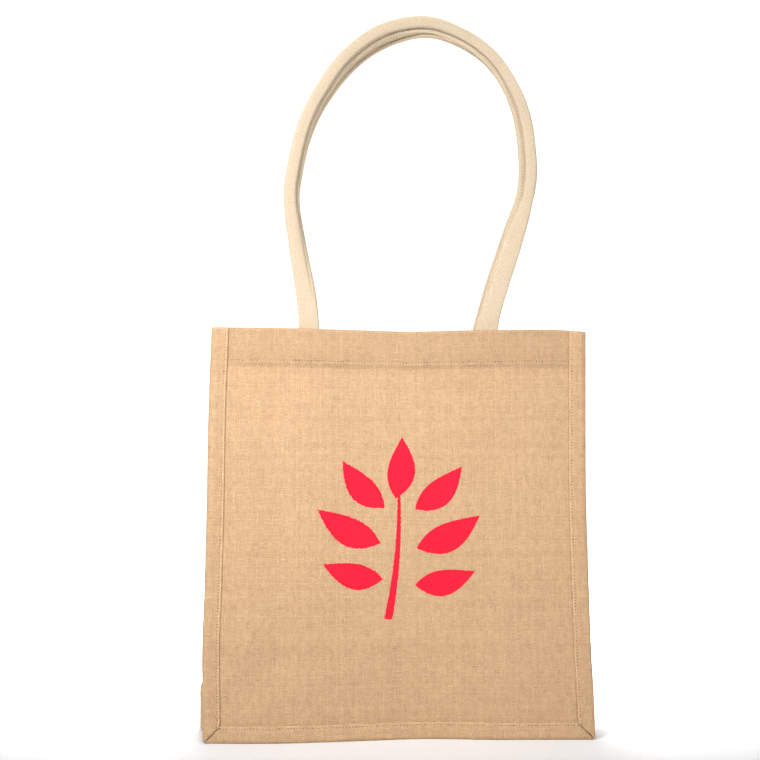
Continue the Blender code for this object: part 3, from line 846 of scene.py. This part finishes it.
# Places along the loop a given length apart: (place, length so far)
def loopPlaces(points, step):
    fine = 40
    places = [(0.0, 0.0)]
    length = 0.0
    before, _ = smoothLoop(points, 0.0)
    for index in range(1, (len(points) - 1) * fine + 1):
        place = index / fine
        here, _ = smoothLoop(points, place)
        length += math.hypot(here[0] - before[0], here[1] - before[1])
        before = here
        if length - places[-1][1] >= step:
            places.append((place, length))
    places[-1] = (float(len(points) - 1), length)
    return places


# A point on a rounded square that reaches 1 to each side
def roundedSquare(degrees, squareness):
    angle = math.radians(degrees)
    return [math.copysign(abs(part) ** squareness, part) for part in (math.cos(angle), math.sin(angle))]


# The handle's outline, starting and ending at the slit between the webbing's edges:
# (outward in the loop's plane, through), once as a tube with a fin and once pressed flat
def tubeOutline():
    reach = handle["finReach"]
    half = handle["finHalf"]
    rootHalf = handle["finRootHalf"]
    root = handle["finRoot"]
    fin = [(-reach + handle["finSlit"], -0.00008), (-reach, -0.3 * half), (-reach, -0.8 * half),
           (-reach + 0.0004, -half), (-reach + 0.0013, -1.02 * half), (-reach + 0.0026, -0.96 * half),
           (-root - 0.0014, -0.82 * half), (-root - 0.0006, -rootHalf), (-root, -0.8 * rootHalf)]
    tube = []
    for step in range(handle["tubePoints"] + 1):
        degrees = mix(-handle["tubeSeam"], handle["tubeSeam"], step / handle["tubePoints"])
        out, through = roundedSquare(degrees, handle["tubeSquareness"])
        tube.append((handle["tubeShift"] + handle["tubeAcross"] * out,
                     handle["tubeThrough"] * through))
    return fin + tube + [(out, -through) for out, through in reversed(fin)]


def tabOutline(count):
    points = []
    for step in range(count):
        out, through = roundedSquare(mix(-179.9, 179.9, step / (count - 1)), handle["tabSquareness"])
        points.append((handle["tabHalfWidth"] * out, handle["tabHalfThick"] * through))
    return points


# How the padding swells and thins along a handle, from -1 to 1
def handleWobble(side, length):
    return (0.5 * math.sin(38.0 * length + 0.9 * side) + 0.3 * math.sin(97.0 * length + 2.0 * side)
            + 0.2 * math.sin(171.0 * length + 1.1))


# Places a point of the outline in space at a place along the loop
def handleSpot(side, points, place, length, out, through, tubeShare):
    (x, z, turn), (runX, runZ, _) = smoothLoop(points, place)
    run = math.hypot(runX, runZ)
    outX = -runZ / run
    outZ = runX / run
    lean = ease(z, handle["tabTop"], handle["leanEnd"])
    bend = math.radians(turn) * tubeShare * (1.0 - handle["tubeTurn"])
    root = handle["finRoot"] * tubeShare
    if out < -root:
        reach = -out - root
        tuck = bump(x, *handle["finTuckLeft"]) - bump(x, *handle["finTuckRight"])
        reach *= 1.0 - handle["finTuck"] * tuck
        out = -root - reach * math.cos(bend) + through * math.sin(bend)
        through = through * math.cos(bend) + reach * math.sin(bend)
    angle = math.radians(turn) * tubeShare * handle["tubeTurn"]
    swell = 1.0 + handle["wobble"] * handleWobble(side, length) * tubeShare
    turnedOut = out * math.cos(angle) + through * math.sin(angle)
    turnedThrough = through * math.cos(angle) - out * math.sin(angle)
    pointX = x + outX * turnedOut * swell
    pointZ = z + outZ * turnedOut * swell
    seatHeight = min(pointZ, bag["topHeight"])
    seat = panelFace(side, pointX, seatHeight) - side * reliefAt(side, pointX, seatHeight)
    seat -= side * (bag["hemThick"] + handle["tabClear"] + handle["tabHalfThick"])
    middle = mix(seat, side * handle["topGap"], lean)
    return Vector((pointX, middle - side * turnedThrough * swell, pointZ))


def makeHandle(name, side):
    points = loopPoints(side)
    tube = tubeOutline()
    tab = tabOutline(len(tube))
    rings = []
    places = []
    seams = []
    for place, length in loopPlaces(points, handle["ringStep"]):
        share = paddedShare(points, place)
        ring = [handleSpot(side, points, place, length, mix(tabOut, tubeOut, share),
                           mix(tabThrough, tubeThrough, share), share)
                for (tubeOut, tubeThrough), (tabOut, tabThrough) in zip(tube, tab)]
        flat = flatRow(ring, [length] * len(ring))
        flat.append(flat[-1])
        around = flat[-1][0]
        sewn = share > handle["sewnShare"]
        rings.append(ring + [ring[0].copy()])
        places.append(flat)
        seams.append([(min(spot, around - spot) if sewn else farFromSeam, length)
                      for spot, _ in flat])
    piece = clothGrid(name, rings, places, seams, closed=True)
    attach(piece, "root")
    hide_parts("handle_front" if side == front else "handle_back")
    return piece


# Stitches: each is a short fat bead of thread that dips into the cloth at both ends

Bead = namedtuple("Bead", "length width height")
stitching = {
    "pitch": 0.0031,
    "sideStart": 0.0165,       # height of the side strips' lowest stitch
    "seamStart": 0.0004,       # the other rows' distance from the side strips
    "topClear": 0.0015,        # rows end this far below the top edge
    "bottomClear": 0.001,      # and this far from the right side strip
    "hemClear": 0.0008,
    "backtack": 0.0838,        # where the hem's seam runs over itself
    "backtackStitches": 4,
    "backtackPitch": 0.00248,
    "backtackLift": 0.0011,    # how far above the seam, wandering by backtackWander
    "backtackWander": 0.0003,
    "backtackOut": 0.0001,
    "hemOut": 0.00005,         # how far the hem's stitches lie out of its outer and inner face
    "hemIn": 0.00015,
    "finShare": 0.8,           # the handles' stitches lie this far through half the fin
    "border": Bead(0.00235, 0.00085, 0.00075),
    "hem": Bead(0.00235, 0.000765, 0.0006),
    "handle": Bead(0.0023, 0.00075, 0.0006),
    "slant": 5.0,
    "seeds": {"border": 41, "hem": 17, "handle": 5},
}


def makeBead():
    builder = bmesh.new()
    bmesh.ops.create_uvsphere(builder, u_segments=6, v_segments=5, radius=1.0,
                              matrix=Matrix.Rotation(math.radians(90.0), 4, "Y"))
    bead = bpy.data.meshes.new("stitchBead")
    builder.to_mesh(bead)
    builder.free()
    return bead


stitchBead = makeBead()


# One bead between each two points of a line
def addSeam(builder, line, outward, bead, jitter):
    for before, after in zip(line, line[1:]):
        slant = math.radians(stitching["slant"]) * jitter.uniform(-1.0, 1.0)
        along = (Matrix.Rotation(slant, 3, outward) @ (after - before)).normalized()
        length = bead.length * jitter.uniform(0.92, 1.08)
        width = bead.width * jitter.uniform(0.88, 1.1)
        aside = outward.cross(along).normalized()
        up = along.cross(aside).normalized()
        turn = Matrix((along, aside, up)).transposed().to_4x4()
        scale = Matrix.Diagonal((0.5 * length, 0.5 * width, 0.5 * bead.height, 1.0))
        shaped = stitchBead.copy()
        shaped.transform(Matrix.Translation(0.5 * (before + after)) @ turn @ scale)
        builder.from_mesh(shaped)
        bpy.data.meshes.remove(shaped)


def finishStitches(name, builder):
    for face in builder.faces:
        face.smooth = True
    piece = newPiece(name, builder)
    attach(piece, "root")
    return piece


# Where a border's stitch lies: on a side strip at a height, or without a hand on the bottom strip
def marginSpot(side, hand, along):
    inset = bag["borderWidth"] - gusset["stitchInset"]
    out = bag["clothThick"] + 2.0 * gusset["lipRadius"] + gusset["underGap"] - gusset["stitchPull"]
    if not hand:
        return Vector((along, panelFace(side, along, inset) + side * out, inset))
    x = edgeLine(hand, along) - hand * inset
    nearness = 1.0 - ease(along - gusset["mitreStitch"], 0.0, gusset["mitreRun"])
    out += gusset["mitreRise"] * nearness * 0.5
    return Vector((x, panelFace(side, x, along) + side * out, lifted(side, hand, along)))


def makeBorderStitches(name):
    jitter = random.Random(stitching["seeds"]["border"])
    builder = bmesh.new()
    left, right = sideLines(0.0)
    sideRow = bag["topHeight"] - stitching["topClear"] - stitching["sideStart"]
    bottomRow = right - left - 2.0 * bag["borderWidth"] - stitching["bottomClear"]
    for side in (front, back):
        for hand, start, length in ((-1, stitching["sideStart"], sideRow),
                                    (1, stitching["sideStart"], sideRow),
                                    (0, seamStartAt(0.0), bottomRow)):
            line = [marginSpot(side, hand, start + stitching["pitch"] * step)
                    for step in range(int(length / stitching["pitch"]) + 1)]
            addSeam(builder, line, Vector((0.0, side, 0.0)), stitching["border"], jitter)
    return finishStitches(name, builder)


def hemSpot(side, x, height, depth):
    return Vector((x, panelFace(side, x, height) - side * depth,
                   lifted(side, acrossAt(x, height), height)))


def makeHemStitches(name):
    jitter = random.Random(stitching["seeds"]["hem"])
    builder = bmesh.new()
    pitch = stitching["pitch"]
    for side in (front, back):
        for height in (relief["hemStitch"], relief["hemTopStitch"]):
            left, right = sideLines(height)
            start = seamStartAt(height)
            count = int((right - left - 2.0 * bag["borderWidth"] - stitching["hemClear"]) / pitch)
            for facing, depth in ((side, -stitching["hemOut"]),
                                  (-side, bag["hemThick"] + stitching["hemIn"])):
                line = [hemSpot(side, start + pitch * step, height, depth)
                        for step in range(count + 1)]
                addSeam(builder, line, Vector((0.0, facing, 0.0)), stitching["hem"], jitter)
        # where the seam starts and ends it runs over itself behind a handle's end
        line = []
        for step in range(stitching["backtackStitches"] + 1):
            z = relief["hemStitch"] + stitching["backtackLift"]
            z += stitching["backtackWander"] * math.sin(2.0 * step)
            line.append(hemSpot(side, stitching["backtack"] + stitching["backtackPitch"] * step, z,
                                stitching["backtackOut"]))
        addSeam(builder, line, Vector((0.0, side, 0.0)), stitching["border"], jitter)
    return finishStitches(name, builder)


def makeHandleStitches(name):
    jitter = random.Random(stitching["seeds"]["handle"])
    builder = bmesh.new()
    for side in (front, back):
        points = loopPoints(side)
        spots = [(place, length) for place, length in loopPlaces(points, handle["stitchPitch"])
                 if paddedShare(points, place) > handle["sewnShare"]]
        for face in (-1, 1):
            line = [handleSpot(side, points, place, length, -handle["stitchPlace"],
                               face * (handle["finHalf"] * stitching["finShare"]), 1.0)
                    for place, length in spots]
            addSeam(builder, line, Vector((0.0, -side * face, 0.0)), stitching["handle"], jitter)
    return finishStitches(name, builder)


# Materials

# A number, place or colour in a material. Sums and products of values become nodes.
class Value:
    def __init__(self, nodes, socket):
        self.nodes = nodes
        self.socket = socket

    def __add__(self, other):
        return self.nodes.math("ADD", self, other)

    def __sub__(self, other):
        return self.nodes.math("SUBTRACT", self, other)

    def __rsub__(self, other):
        return self.nodes.math("SUBTRACT", other, self)

    def __mul__(self, other):
        return self.nodes.math("MULTIPLY", self, other)

    def __truediv__(self, other):
        return self.nodes.math("DIVIDE", self, other)


# The nodes of one material
class Nodes:
    def __init__(self, name):
        self.material = bpy.data.materials.new(name)
        self.material.use_nodes = True
        self.tree = self.material.node_tree
        self.shader = self.tree.nodes["Principled BSDF"]

    def link(self, value, socket):
        if isinstance(value, Value):
            self.tree.links.new(value.socket, socket)
        else:
            socket.default_value = value

    # Adds a node, fills in its inputs and gives one of its outputs
    def add(self, kind, output, inputs, **settings):
        node = self.tree.nodes.new("ShaderNode" + kind)
        for name, setting in settings.items():
            setattr(node, name, setting)
        for name, value in inputs.items():
            self.link(value, node.inputs[name])
        return Value(self, node.outputs[output])

    def math(self, operation, *values, clamp=False):
        return self.add("Math", 0, dict(enumerate(values)), operation=operation, use_clamp=clamp)

    def join(self, x, y, z=0.0):
        return self.add("CombineXYZ", 0, {0: x, 1: y, 2: z})

    def split(self, vector):
        first = self.add("SeparateXYZ", 0, {0: vector})
        return first, Value(self, first.socket.node.outputs[1])

    def noise(self, vector, scale, detail=2.0, roughness=0.5):
        return self.add("TexNoise", "Fac", {"Vector": vector, "Scale": scale, "Detail": detail,
                                            "Roughness": roughness})

    def chance(self, vector):
        return self.add("TexWhiteNoise", "Value", {"Vector": vector}, noise_dimensions="3D")

    def ramp(self, value, fromLow, fromHigh, toLow, toHigh, smooth=False):
        return self.add("MapRange", "Result", {"Value": value, "From Min": fromLow,
                                               "From Max": fromHigh, "To Min": toLow,
                                               "To Max": toHigh},
                        interpolation_type="SMOOTHSTEP" if smooth else "LINEAR")

    def blend(self, share, low, high):
        mixed = self.add("Mix", 0, {"Factor": share, "A": low, "B": high}, data_type="RGBA")
        outputs = mixed.socket.node.outputs
        return Value(self, next(socket for socket in outputs if socket.type == "RGBA"))

    def scaled(self, colour, factor):
        return self.add("VectorMath", 0, {0: colour, "Scale": factor}, operation="SCALE")

    def clothPlace(self, mapName="cloth"):
        return self.add("UVMap", "UV", {}, uv_map=mapName)

    def finish(self, colour, roughness, height, bumpDistance, sheen):
        normal = self.add("Bump", "Normal", {"Strength": 1.0, "Distance": bumpDistance,
                                             "Height": height})
        self.link(normal, self.shader.inputs["Normal"])
        self.link(colour, self.shader.inputs["Base Color"])
        self.link(roughness, self.shader.inputs["Roughness"])
        self.shader.inputs["Specular IOR Level"].default_value = 0.25
        self.shader.inputs["Sheen Weight"].default_value = sheen
        self.shader.inputs["Sheen Roughness"].default_value = 0.5
        return self.material


burlap = {
    "pitch": 0.00190,
    "pale": (0.640, 0.424, 0.247, 1.0),
    "dark": (0.376, 0.222, 0.112, 1.0),
    "share": 0.62,             # how pale a plain yarn is between dark and pale
    "patchTone": 0.10,
    "fibreTone": 0.20,
    "fleckTone": 0.45,
    "fleckSizes": ((110.0, 760.0), (760.0, 110.0)),
    "yarnTone": 0.22,
    "slubTone": 1.00,
    "slubRate": (0.15, 0.28),  # slubs for each yarn's width along the warp and the weft
    "slubScatter": 7.31,       # how far each yarn's slubs lie from its neighbour's
    "yarnHalfWidths": (0.36, 0.56),
    "yarnRound": 0.62,
    "yarnWave": 0.28,          # height of the over and under
    "drift": 1.6,              # how far the yarns wander, in yarns
    "driftScale": 90.0,
    "patchScale": 9.0,
    "fibreScale": 2600.0,
    # painted shade: the colour is darker where the yarns lie low, between them
    "gapShade": 0.50,
    "bump": 0.00044,
    "roughness": 0.92,
    "sheen": 0.03,
    "hemFoldShadow": 0.14,           # painted shadow: how much darker the colour is made under the hem's fold
    "foldShadowScale": 26.0,         # the painted shadow comes and goes along the fold
    "hemShade": 0.905,         # no light comes through the doubled cloth of the hem
    "edgeHighlight": 1.14,          # painted highlight: the turned edges' colour is made paler
    "holeShade": 0.34,
    "holeDepth": 1.2,
}
needle = {
    "core": 0.00035,           # a hole is at its deepest, and its painted shade darkest, inside this radius
    "radii": (0.00062, 0.00108),
    "depths": (0.55, 1.0),
}
ink = {
    "colour": (0.760, 0.003, 0.030),
    "centre": (0.0005, 0.2120),
    "edgeNoise": 0.0022,       # how far the cloth's roughness moves the print's edge
    "edgeScale": 420.0,
    "leafTaper": -0.30,
    "stemFoot": -0.090,
    "stemTop": 0.046,
    "stemHalfWidths": (0.0044, 0.0014),
    "stemLean": 0.045,
    "stemShift": 0.0015,
    "stemBend": -0.9,
    "thinCover": 0.55,         # share of ink in the gaps between yarns
    "tones": (0.90, 1.06),
    "roughness": 0.72,
}


# The plain weave: height of the yarns and the tone of the yarn on top, both about 0 to 1
def plainWeave(nodes, place):
    drift = (nodes.noise(place, burlap["driftScale"], 1.0) - 0.5) * burlap["drift"]
    u, v = nodes.split(place)
    u = u / burlap["pitch"] + drift
    v = v / burlap["pitch"] - drift
    yarns = []
    for across, along, seed, slubRate, phase in ((u, v, 11.0, burlap["slubRate"][0], 1.0),
                                                 (v, u, 47.0, burlap["slubRate"][1], -1.0)):
        index = nodes.math("FLOOR", across)
        own = nodes.chance(nodes.join(index, seed))
        spot = nodes.join(along * slubRate, index * burlap["slubScatter"], seed)
        slub = nodes.noise(spot, 1.0, 2.0, 0.6)
        halfWidth = nodes.ramp(slub, 0.25, 0.75, *burlap["yarnHalfWidths"])
        reach = (nodes.math("FRACT", across) - 0.5) / halfWidth
        roundness = nodes.math("SQRT", nodes.math("MAXIMUM", 1.0 - reach * reach, 0.0))
        parity = 1.0 - nodes.math("FLOORED_MODULO", index, 2.0) * 2.0
        wave = nodes.math("SINE", along * math.pi) * parity * phase
        height = roundness * burlap["yarnRound"] + wave * burlap["yarnWave"]
        height = height * nodes.math("GREATER_THAN", roundness, 0.02)
        tone = (own - 0.5) * burlap["yarnTone"] + (slub - 0.5) * burlap["slubTone"]
        yarns.append((height, tone))
    (warpHeight, warpTone), (weftHeight, weftTone) = yarns
    onTop = nodes.math("GREATER_THAN", warpHeight, weftHeight)
    height = nodes.math("MAXIMUM", warpHeight, weftHeight)
    return height, onTop * warpTone + (1.0 - onTop) * weftTone


# Needle holes along a seam at a fixed place across the cloth: a mask that sinks the bump and, where it
# is used, darkens the colour as painted shade
def needleHoles(nodes, across, along, seamPlace, pitch):
    aside = across - seamPlace
    number = nodes.math("FLOOR", along / pitch + 0.5)
    own = nodes.chance(nodes.join(number, 5.0))
    ahead = along - number * pitch
    distance = nodes.math("SQRT", aside * aside + ahead * ahead)
    edge = nodes.ramp(own, 0.0, 1.0, *needle["radii"])
    depth = nodes.ramp(own, 0.0, 1.0, *needle["depths"])
    return nodes.ramp(distance, needle["core"], edge, 1.0, 0.0, smooth=True) * depth


# Leaves of a sprig: middle, direction of the tip in degrees, half length, half width, bend
Leaf = namedtuple("Leaf", "x z angle halfLength halfWidth bend")
leaves = (
    Leaf(0.0050, 0.0640, 84.0, 0.0320, 0.0140, 0.0030),
    Leaf(-0.0380, 0.0440, 132.0, 0.0325, 0.0135, -0.0045),
    Leaf(0.0460, 0.0400, 42.0, 0.0330, 0.0135, 0.0045),
    Leaf(-0.0520, 0.0000, 152.0, 0.0370, 0.0145, -0.0050),
    Leaf(0.0550, -0.0060, 27.0, 0.0370, 0.0145, 0.0050),
    Leaf(-0.0470, -0.0460, 166.0, 0.0320, 0.0130, -0.0045),
    Leaf(0.0500, -0.0530, 13.0, 0.0320, 0.0130, 0.0045),
)


# Where the printed sprig covers the cloth
def sprigMask(nodes, place):
    rough = (nodes.noise(place, ink["edgeScale"], 2.0) - 0.5) * ink["edgeNoise"]
    u, v = nodes.split(place)
    u = u - ink["centre"][0] + rough
    v = v - ink["centre"][1] + rough
    # the stem is a long thin arc from below the lowest leaves to the top leaf
    stem = v * ink["stemLean"] + ink["stemShift"] + v * v * ink["stemBend"]
    fromStem = nodes.math("ABSOLUTE", u - stem)
    thick = nodes.ramp(v, ink["stemFoot"], 0.045, *ink["stemHalfWidths"])
    ends = nodes.math("MINIMUM", v - ink["stemFoot"], ink["stemTop"] - v)
    inside = nodes.math("MINIMUM", thick - fromStem, ends)
    for leaf in leaves:
        angle = math.radians(leaf.angle)
        x = u - leaf.x
        z = v - leaf.z
        along = x * (math.cos(angle) / leaf.halfLength) + z * (math.sin(angle) / leaf.halfLength)
        square = along * along
        aside = z * math.cos(angle) - x * math.sin(angle) - square * leaf.bend
        width = (1.0 - square) * (along * (ink["leafTaper"] * leaf.halfWidth) + leaf.halfWidth)
        within = width - nodes.math("ABSOLUTE", aside)
        within = nodes.math("MINIMUM", within, (1.0 - square) * 0.02)
        inside = nodes.math("MAXIMUM", inside, within)
    return nodes.ramp(inside, -0.0001, 0.0003, 0.0, 1.0)


# The cloth of a panel has the hem's look, with painted shadow under its fold, and its seam; that of a
# strip has the margin's, with a painted highlight along its turned edge
def makeBurlap(name, onPanel, printed=False):
    nodes = Nodes(name)
    place = nodes.clothPlace()
    u, v = nodes.split(place)
    height, tone = plainWeave(nodes, place)
    flecks = []
    for fleckU, fleckV in burlap["fleckSizes"]:
        spots = nodes.noise(nodes.join(u * fleckU, v * fleckV, 3.0), 1.0, 1.0)
        flecks.append(nodes.ramp(spots, 0.68, 0.76, 0.0, burlap["fleckTone"]))
    share = tone + burlap["share"]
    share = share + (nodes.noise(place, burlap["patchScale"], 3.0) - 0.5) * burlap["patchTone"]
    share = share + (nodes.noise(place, burlap["fibreScale"], 1.0) - 0.5) * burlap["fibreTone"]
    share = nodes.math("SUBTRACT", share, nodes.math("MAXIMUM", *flecks), clamp=True)
    colour = nodes.blend(share, burlap["dark"], burlap["pale"])
    # painted shade between the yarns: the colour darkens where the weave lies low
    colour = nodes.scaled(colour, nodes.ramp(height, 0.05, 0.62, burlap["gapShade"], 1.0))
    roughness = burlap["roughness"]
    if onPanel:
        foldLow = relief["hemStepLow"]
        foldHigh = relief["hemStepHigh"]
        # painted shadow in the band under the hem's fold, in patches along it
        low = nodes.ramp(v, foldLow - 0.0010, foldLow + 0.0008, 0.0, 1.0)
        high = nodes.ramp(v, foldHigh - 0.0012, foldHigh + 0.0002, 1.0, 0.0)
        foldShadowPatches = nodes.ramp(nodes.noise(place, burlap["foldShadowScale"], 2.0), 0.38, 0.62, 0.25, 1.0)
        colour = nodes.scaled(colour, nodes.ramp(low * high * foldShadowPatches, 0.0, 1.0, 1.0,
                                                 1.0 - burlap["hemFoldShadow"]))
        colour = nodes.scaled(colour, nodes.ramp(v, foldHigh, foldHigh + 0.002, 1.0,
                                                 burlap["hemShade"]))
    if printed:
        mask = sprigMask(nodes, place)
        cover = mask * nodes.ramp(height, 0.02, 0.25, ink["thinCover"], 1.0)
        inked = nodes.scaled(ink["colour"], nodes.ramp(tone, -0.2, 0.2, *ink["tones"]))
        colour = nodes.blend(cover, colour, inked)
        roughness = nodes.ramp(mask, 0.0, 1.0, burlap["roughness"], ink["roughness"])
    if onPanel:
        across, along, seamPlace = v, u - seamStartAt(relief["hemStitch"]), relief["hemStitch"]
    else:
        across, along = nodes.split(nodes.clothPlace("seam"))
        seamPlace = gusset["stitchInset"]
        # painted highlight: the colour is made paler along the margin's turned edge
        paintedEdgeHighlight = nodes.ramp(across, 0.0015, 0.0027, burlap["edgeHighlight"], 1.0, smooth=True)
        colour = nodes.scaled(colour, paintedEdgeHighlight)
    holes = needleHoles(nodes, across, along, seamPlace, stitching["pitch"])
    # painted shade in the needle holes
    colour = nodes.scaled(colour, nodes.ramp(holes, 0.0, 1.0, 1.0, burlap["holeShade"]))
    return nodes.finish(colour, roughness, height - holes * burlap["holeDepth"], burlap["bump"],
                        burlap["sheen"])


webbing = {
    "pitch": 0.00210,
    "pale": (0.788, 0.640, 0.466, 1.0),
    "dark": (0.480, 0.372, 0.238, 1.0),
    "share": 0.64,
    "twillTone": 0.20,
    "grainTone": 1.20,
    "slowTone": 0.25,
    "roughness": 0.88,
    "sheen": 0.04,
    "bump": 0.00042,
    "chevron": 0.0056,
    "wander": 0.0010,
    "wanderScale": 140.0,
    "slowScale": 26.0,
    "grain": 620.0,
    "twillSlope": 1.1,
    "cordPitch": 0.7,          # the raised cords' pitch as a share of the twill's
    "ridge": 0.5,
    "cord": 0.3,
    "holeShade": 0.45,
    "seam": 0.0063,            # the handle's stitches, from its slit round the fin
}


def makeWebbing(name):
    nodes = Nodes(name)
    place = nodes.clothPlace()
    u, v = nodes.split(place)
    u = u + (nodes.noise(place, webbing["wanderScale"], 2.0) - 0.5) * webbing["wander"]
    # the twill turns back at each chevron
    turnBack = nodes.math("PINGPONG", u, webbing["chevron"])
    diagonal = turnBack * webbing["twillSlope"] + v
    ridge = nodes.math("SINE", diagonal * (2.0 * math.pi / webbing["pitch"]))
    cords = nodes.math("SINE", u * (2.0 * math.pi / (webbing["cordPitch"] * webbing["pitch"])))
    height = ridge * webbing["ridge"] + cords * webbing["cord"]
    speckle = nodes.noise(place, webbing["grain"], 2.0)
    share = height * webbing["twillTone"] + webbing["share"]
    share = share + (speckle - 0.5) * webbing["grainTone"]
    slow = (nodes.noise(place, webbing["slowScale"], 2.0) - 0.5) * webbing["slowTone"]
    colour = nodes.blend(nodes.math("ADD", share, slow, clamp=True), webbing["dark"], webbing["pale"])
    across, along = nodes.split(nodes.clothPlace("seam"))
    holes = needleHoles(nodes, across, along, webbing["seam"], handle["stitchPitch"])
    # painted shade in the needle holes
    colour = nodes.scaled(colour, nodes.ramp(holes, 0.0, 1.0, 1.0, webbing["holeShade"]))
    return nodes.finish(colour, webbing["roughness"], height + speckle - holes, webbing["bump"],
                        webbing["sheen"])


thread = {
    "burlap": ((0.70, 0.50, 0.30, 1.0), (0.50, 0.33, 0.17, 1.0)),
    "cotton": ((0.70, 0.60, 0.44, 1.0), (0.54, 0.44, 0.29, 1.0)),
    "speckleScale": 1400.0,
    "slowScale": 60.0,
    "roughness": 0.8,
    "bump": 0.00008,
    "sheen": 0.1,
}


def makeThread(name, pale, dark):
    nodes = Nodes(name)
    place = nodes.add("TexCoord", "Object", {})
    speckle = nodes.noise(place, thread["speckleScale"], 2.0)
    slow = nodes.noise(place, thread["slowScale"], 1.0)
    colour = nodes.blend(nodes.math("ADD", speckle * 0.5, slow * 0.5, clamp=True), dark, pale)
    return nodes.finish(colour, thread["roughness"], speckle, thread["bump"], thread["sheen"])


# Build

frontPanel = makePanel("frontPanel", front)
backPanel = makePanel("backPanel", back)
print("panels made")
gussetLeft = makeSideStrip("gussetLeft", -1, "gusset_left")
gussetRight = makeSideStrip("gussetRight", 1, "gusset_right")
gussetBottom = makeBottomStrip("gussetBottom", "gusset_bottom")
print("gusset made")
handleFront = makeHandle("handleFront", front)
handleBack = makeHandle("handleBack", back)
print("handles made")
borderStitches = makeBorderStitches("borderStitches")
hemStitches = makeHemStitches("hemStitches")
handleStitches = makeHandleStitches("handleStitches")
print("stitches made")

gussetBurlap = makeBurlap("gussetBurlap", False)
cottonWebbing = makeWebbing("cottonWebbing")
burlapThread = makeThread("burlapThread", *thread["burlap"])
materials = (
    (frontPanel, makeBurlap("printedBurlap", True, True)),
    (backPanel, makeBurlap("plainBurlap", True)),
    (gussetLeft, gussetBurlap),
    (gussetRight, gussetBurlap),
    (gussetBottom, gussetBurlap),
    (handleFront, cottonWebbing),
    (handleBack, cottonWebbing),
    (borderStitches, burlapThread),
    (hemStitches, burlapThread),
    (handleStitches, makeThread("cottonThread", *thread["cotton"])),
)
for piece, material in materials:
    piece.data.materials.append(material)
print("materials made")


# Floor, light and camera

studio = {
    "cameraPlace": (-0.07105, -1.97426, 0.367),
    "cameraTurn": 1.6,
    "lens": 88.56,
    "sensorWidth": 36.0,
    "coveRadius": 3.6,
    "wallHeight": 3.4,
    "wallSides": 96,
    "sweepRadius": 1.3,        # the floor curves up into the wall
    "sweepSteps": 16,
    "paper": (0.93, 0.94, 0.95, 1.0),
    "paperRoughness": 0.95,
    "world": (1.0, 1.0, 1.0, 1.0),
    "worldStrength": 0.28,
}

builder = bmesh.new()
bmesh.ops.create_circle(builder, cap_ends=True, segments=studio["wallSides"],
                        radius=studio["coveRadius"])
rim = builder.edges[:]
wall = bmesh.ops.extrude_edge_only(builder, edges=rim)
wallTop = [item for item in wall["geom"] if isinstance(item, bmesh.types.BMVert)]
bmesh.ops.translate(builder, verts=wallTop, vec=(0.0, 0.0, studio["wallHeight"]))
bmesh.ops.bevel(builder, geom=rim, offset=studio["sweepRadius"], segments=studio["sweepSteps"],
                profile=0.5, affect="EDGES", material=-1)
bmesh.ops.recalc_face_normals(builder, faces=builder.faces[:])
if max(builder.faces, key=lambda face: face.calc_area()).normal.z < 0.0:
    bmesh.ops.reverse_faces(builder, faces=builder.faces[:])
for face in builder.faces:
    face.smooth = True
floor = newPiece("paleFloor", builder)
paper = Nodes("palePaper")
paper.shader.inputs["Base Color"].default_value = studio["paper"]
paper.shader.inputs["Roughness"].default_value = studio["paperRoughness"]
floor.data.materials.append(paper.material)

world = bpy.data.worlds.new("softRoom")
world.use_nodes = True
world.node_tree.nodes["Background"].inputs["Color"].default_value = studio["world"]
world.node_tree.nodes["Background"].inputs["Strength"].default_value = studio["worldStrength"]
bpy.context.scene.world = world

Light = namedtuple("Light", "name place aim size spread energy")
lights = (
    Light("keyLight", (-0.74, -1.05, 1.17), (-0.115, 0.0, 0.48), 0.75, 52.0, 3.50),
    Light("fillLight", (0.80, -1.15, 1.05), (-0.04, 0.0, 0.37), 0.9, 52.0, 1.50),
    Light("floorLight", (0.0, 1.0, 2.5), (0.0, 1.0, 0.0), 0.4, 50.0, 34.0),
    Light("wallLight", (0.0, 1.2, 2.6), (0.0, 3.5, 0.8), 2.0, 130.0, 60.0),
)
for row in lights:
    lamp = bpy.data.lights.new(row.name, "AREA")
    lamp.shape = "SQUARE"
    lamp.size = row.size
    lamp.energy = row.energy
    lamp.spread = math.radians(row.spread)
    lampObject = bpy.data.objects.new(row.name, lamp)
    lampObject.location = row.place
    lampObject.visible_camera = False
    aim = Vector(row.aim) - Vector(row.place)
    lampObject.rotation_euler = aim.to_track_quat("-Z", "Y").to_euler()
    bpy.context.scene.collection.objects.link(lampObject)

cameraData = bpy.data.cameras.new("photoCamera")
cameraData.lens = studio["lens"]
cameraData.sensor_width = studio["sensorWidth"]
camera = bpy.data.objects.new("photoCamera", cameraData)
camera.location = studio["cameraPlace"]
camera.rotation_euler = (math.radians(90.0), 0.0, math.radians(-studio["cameraTurn"]))
bpy.context.scene.collection.objects.link(camera)
bpy.context.scene.camera = camera
bpy.context.scene.view_settings.view_transform = "Standard"
print("studio made")
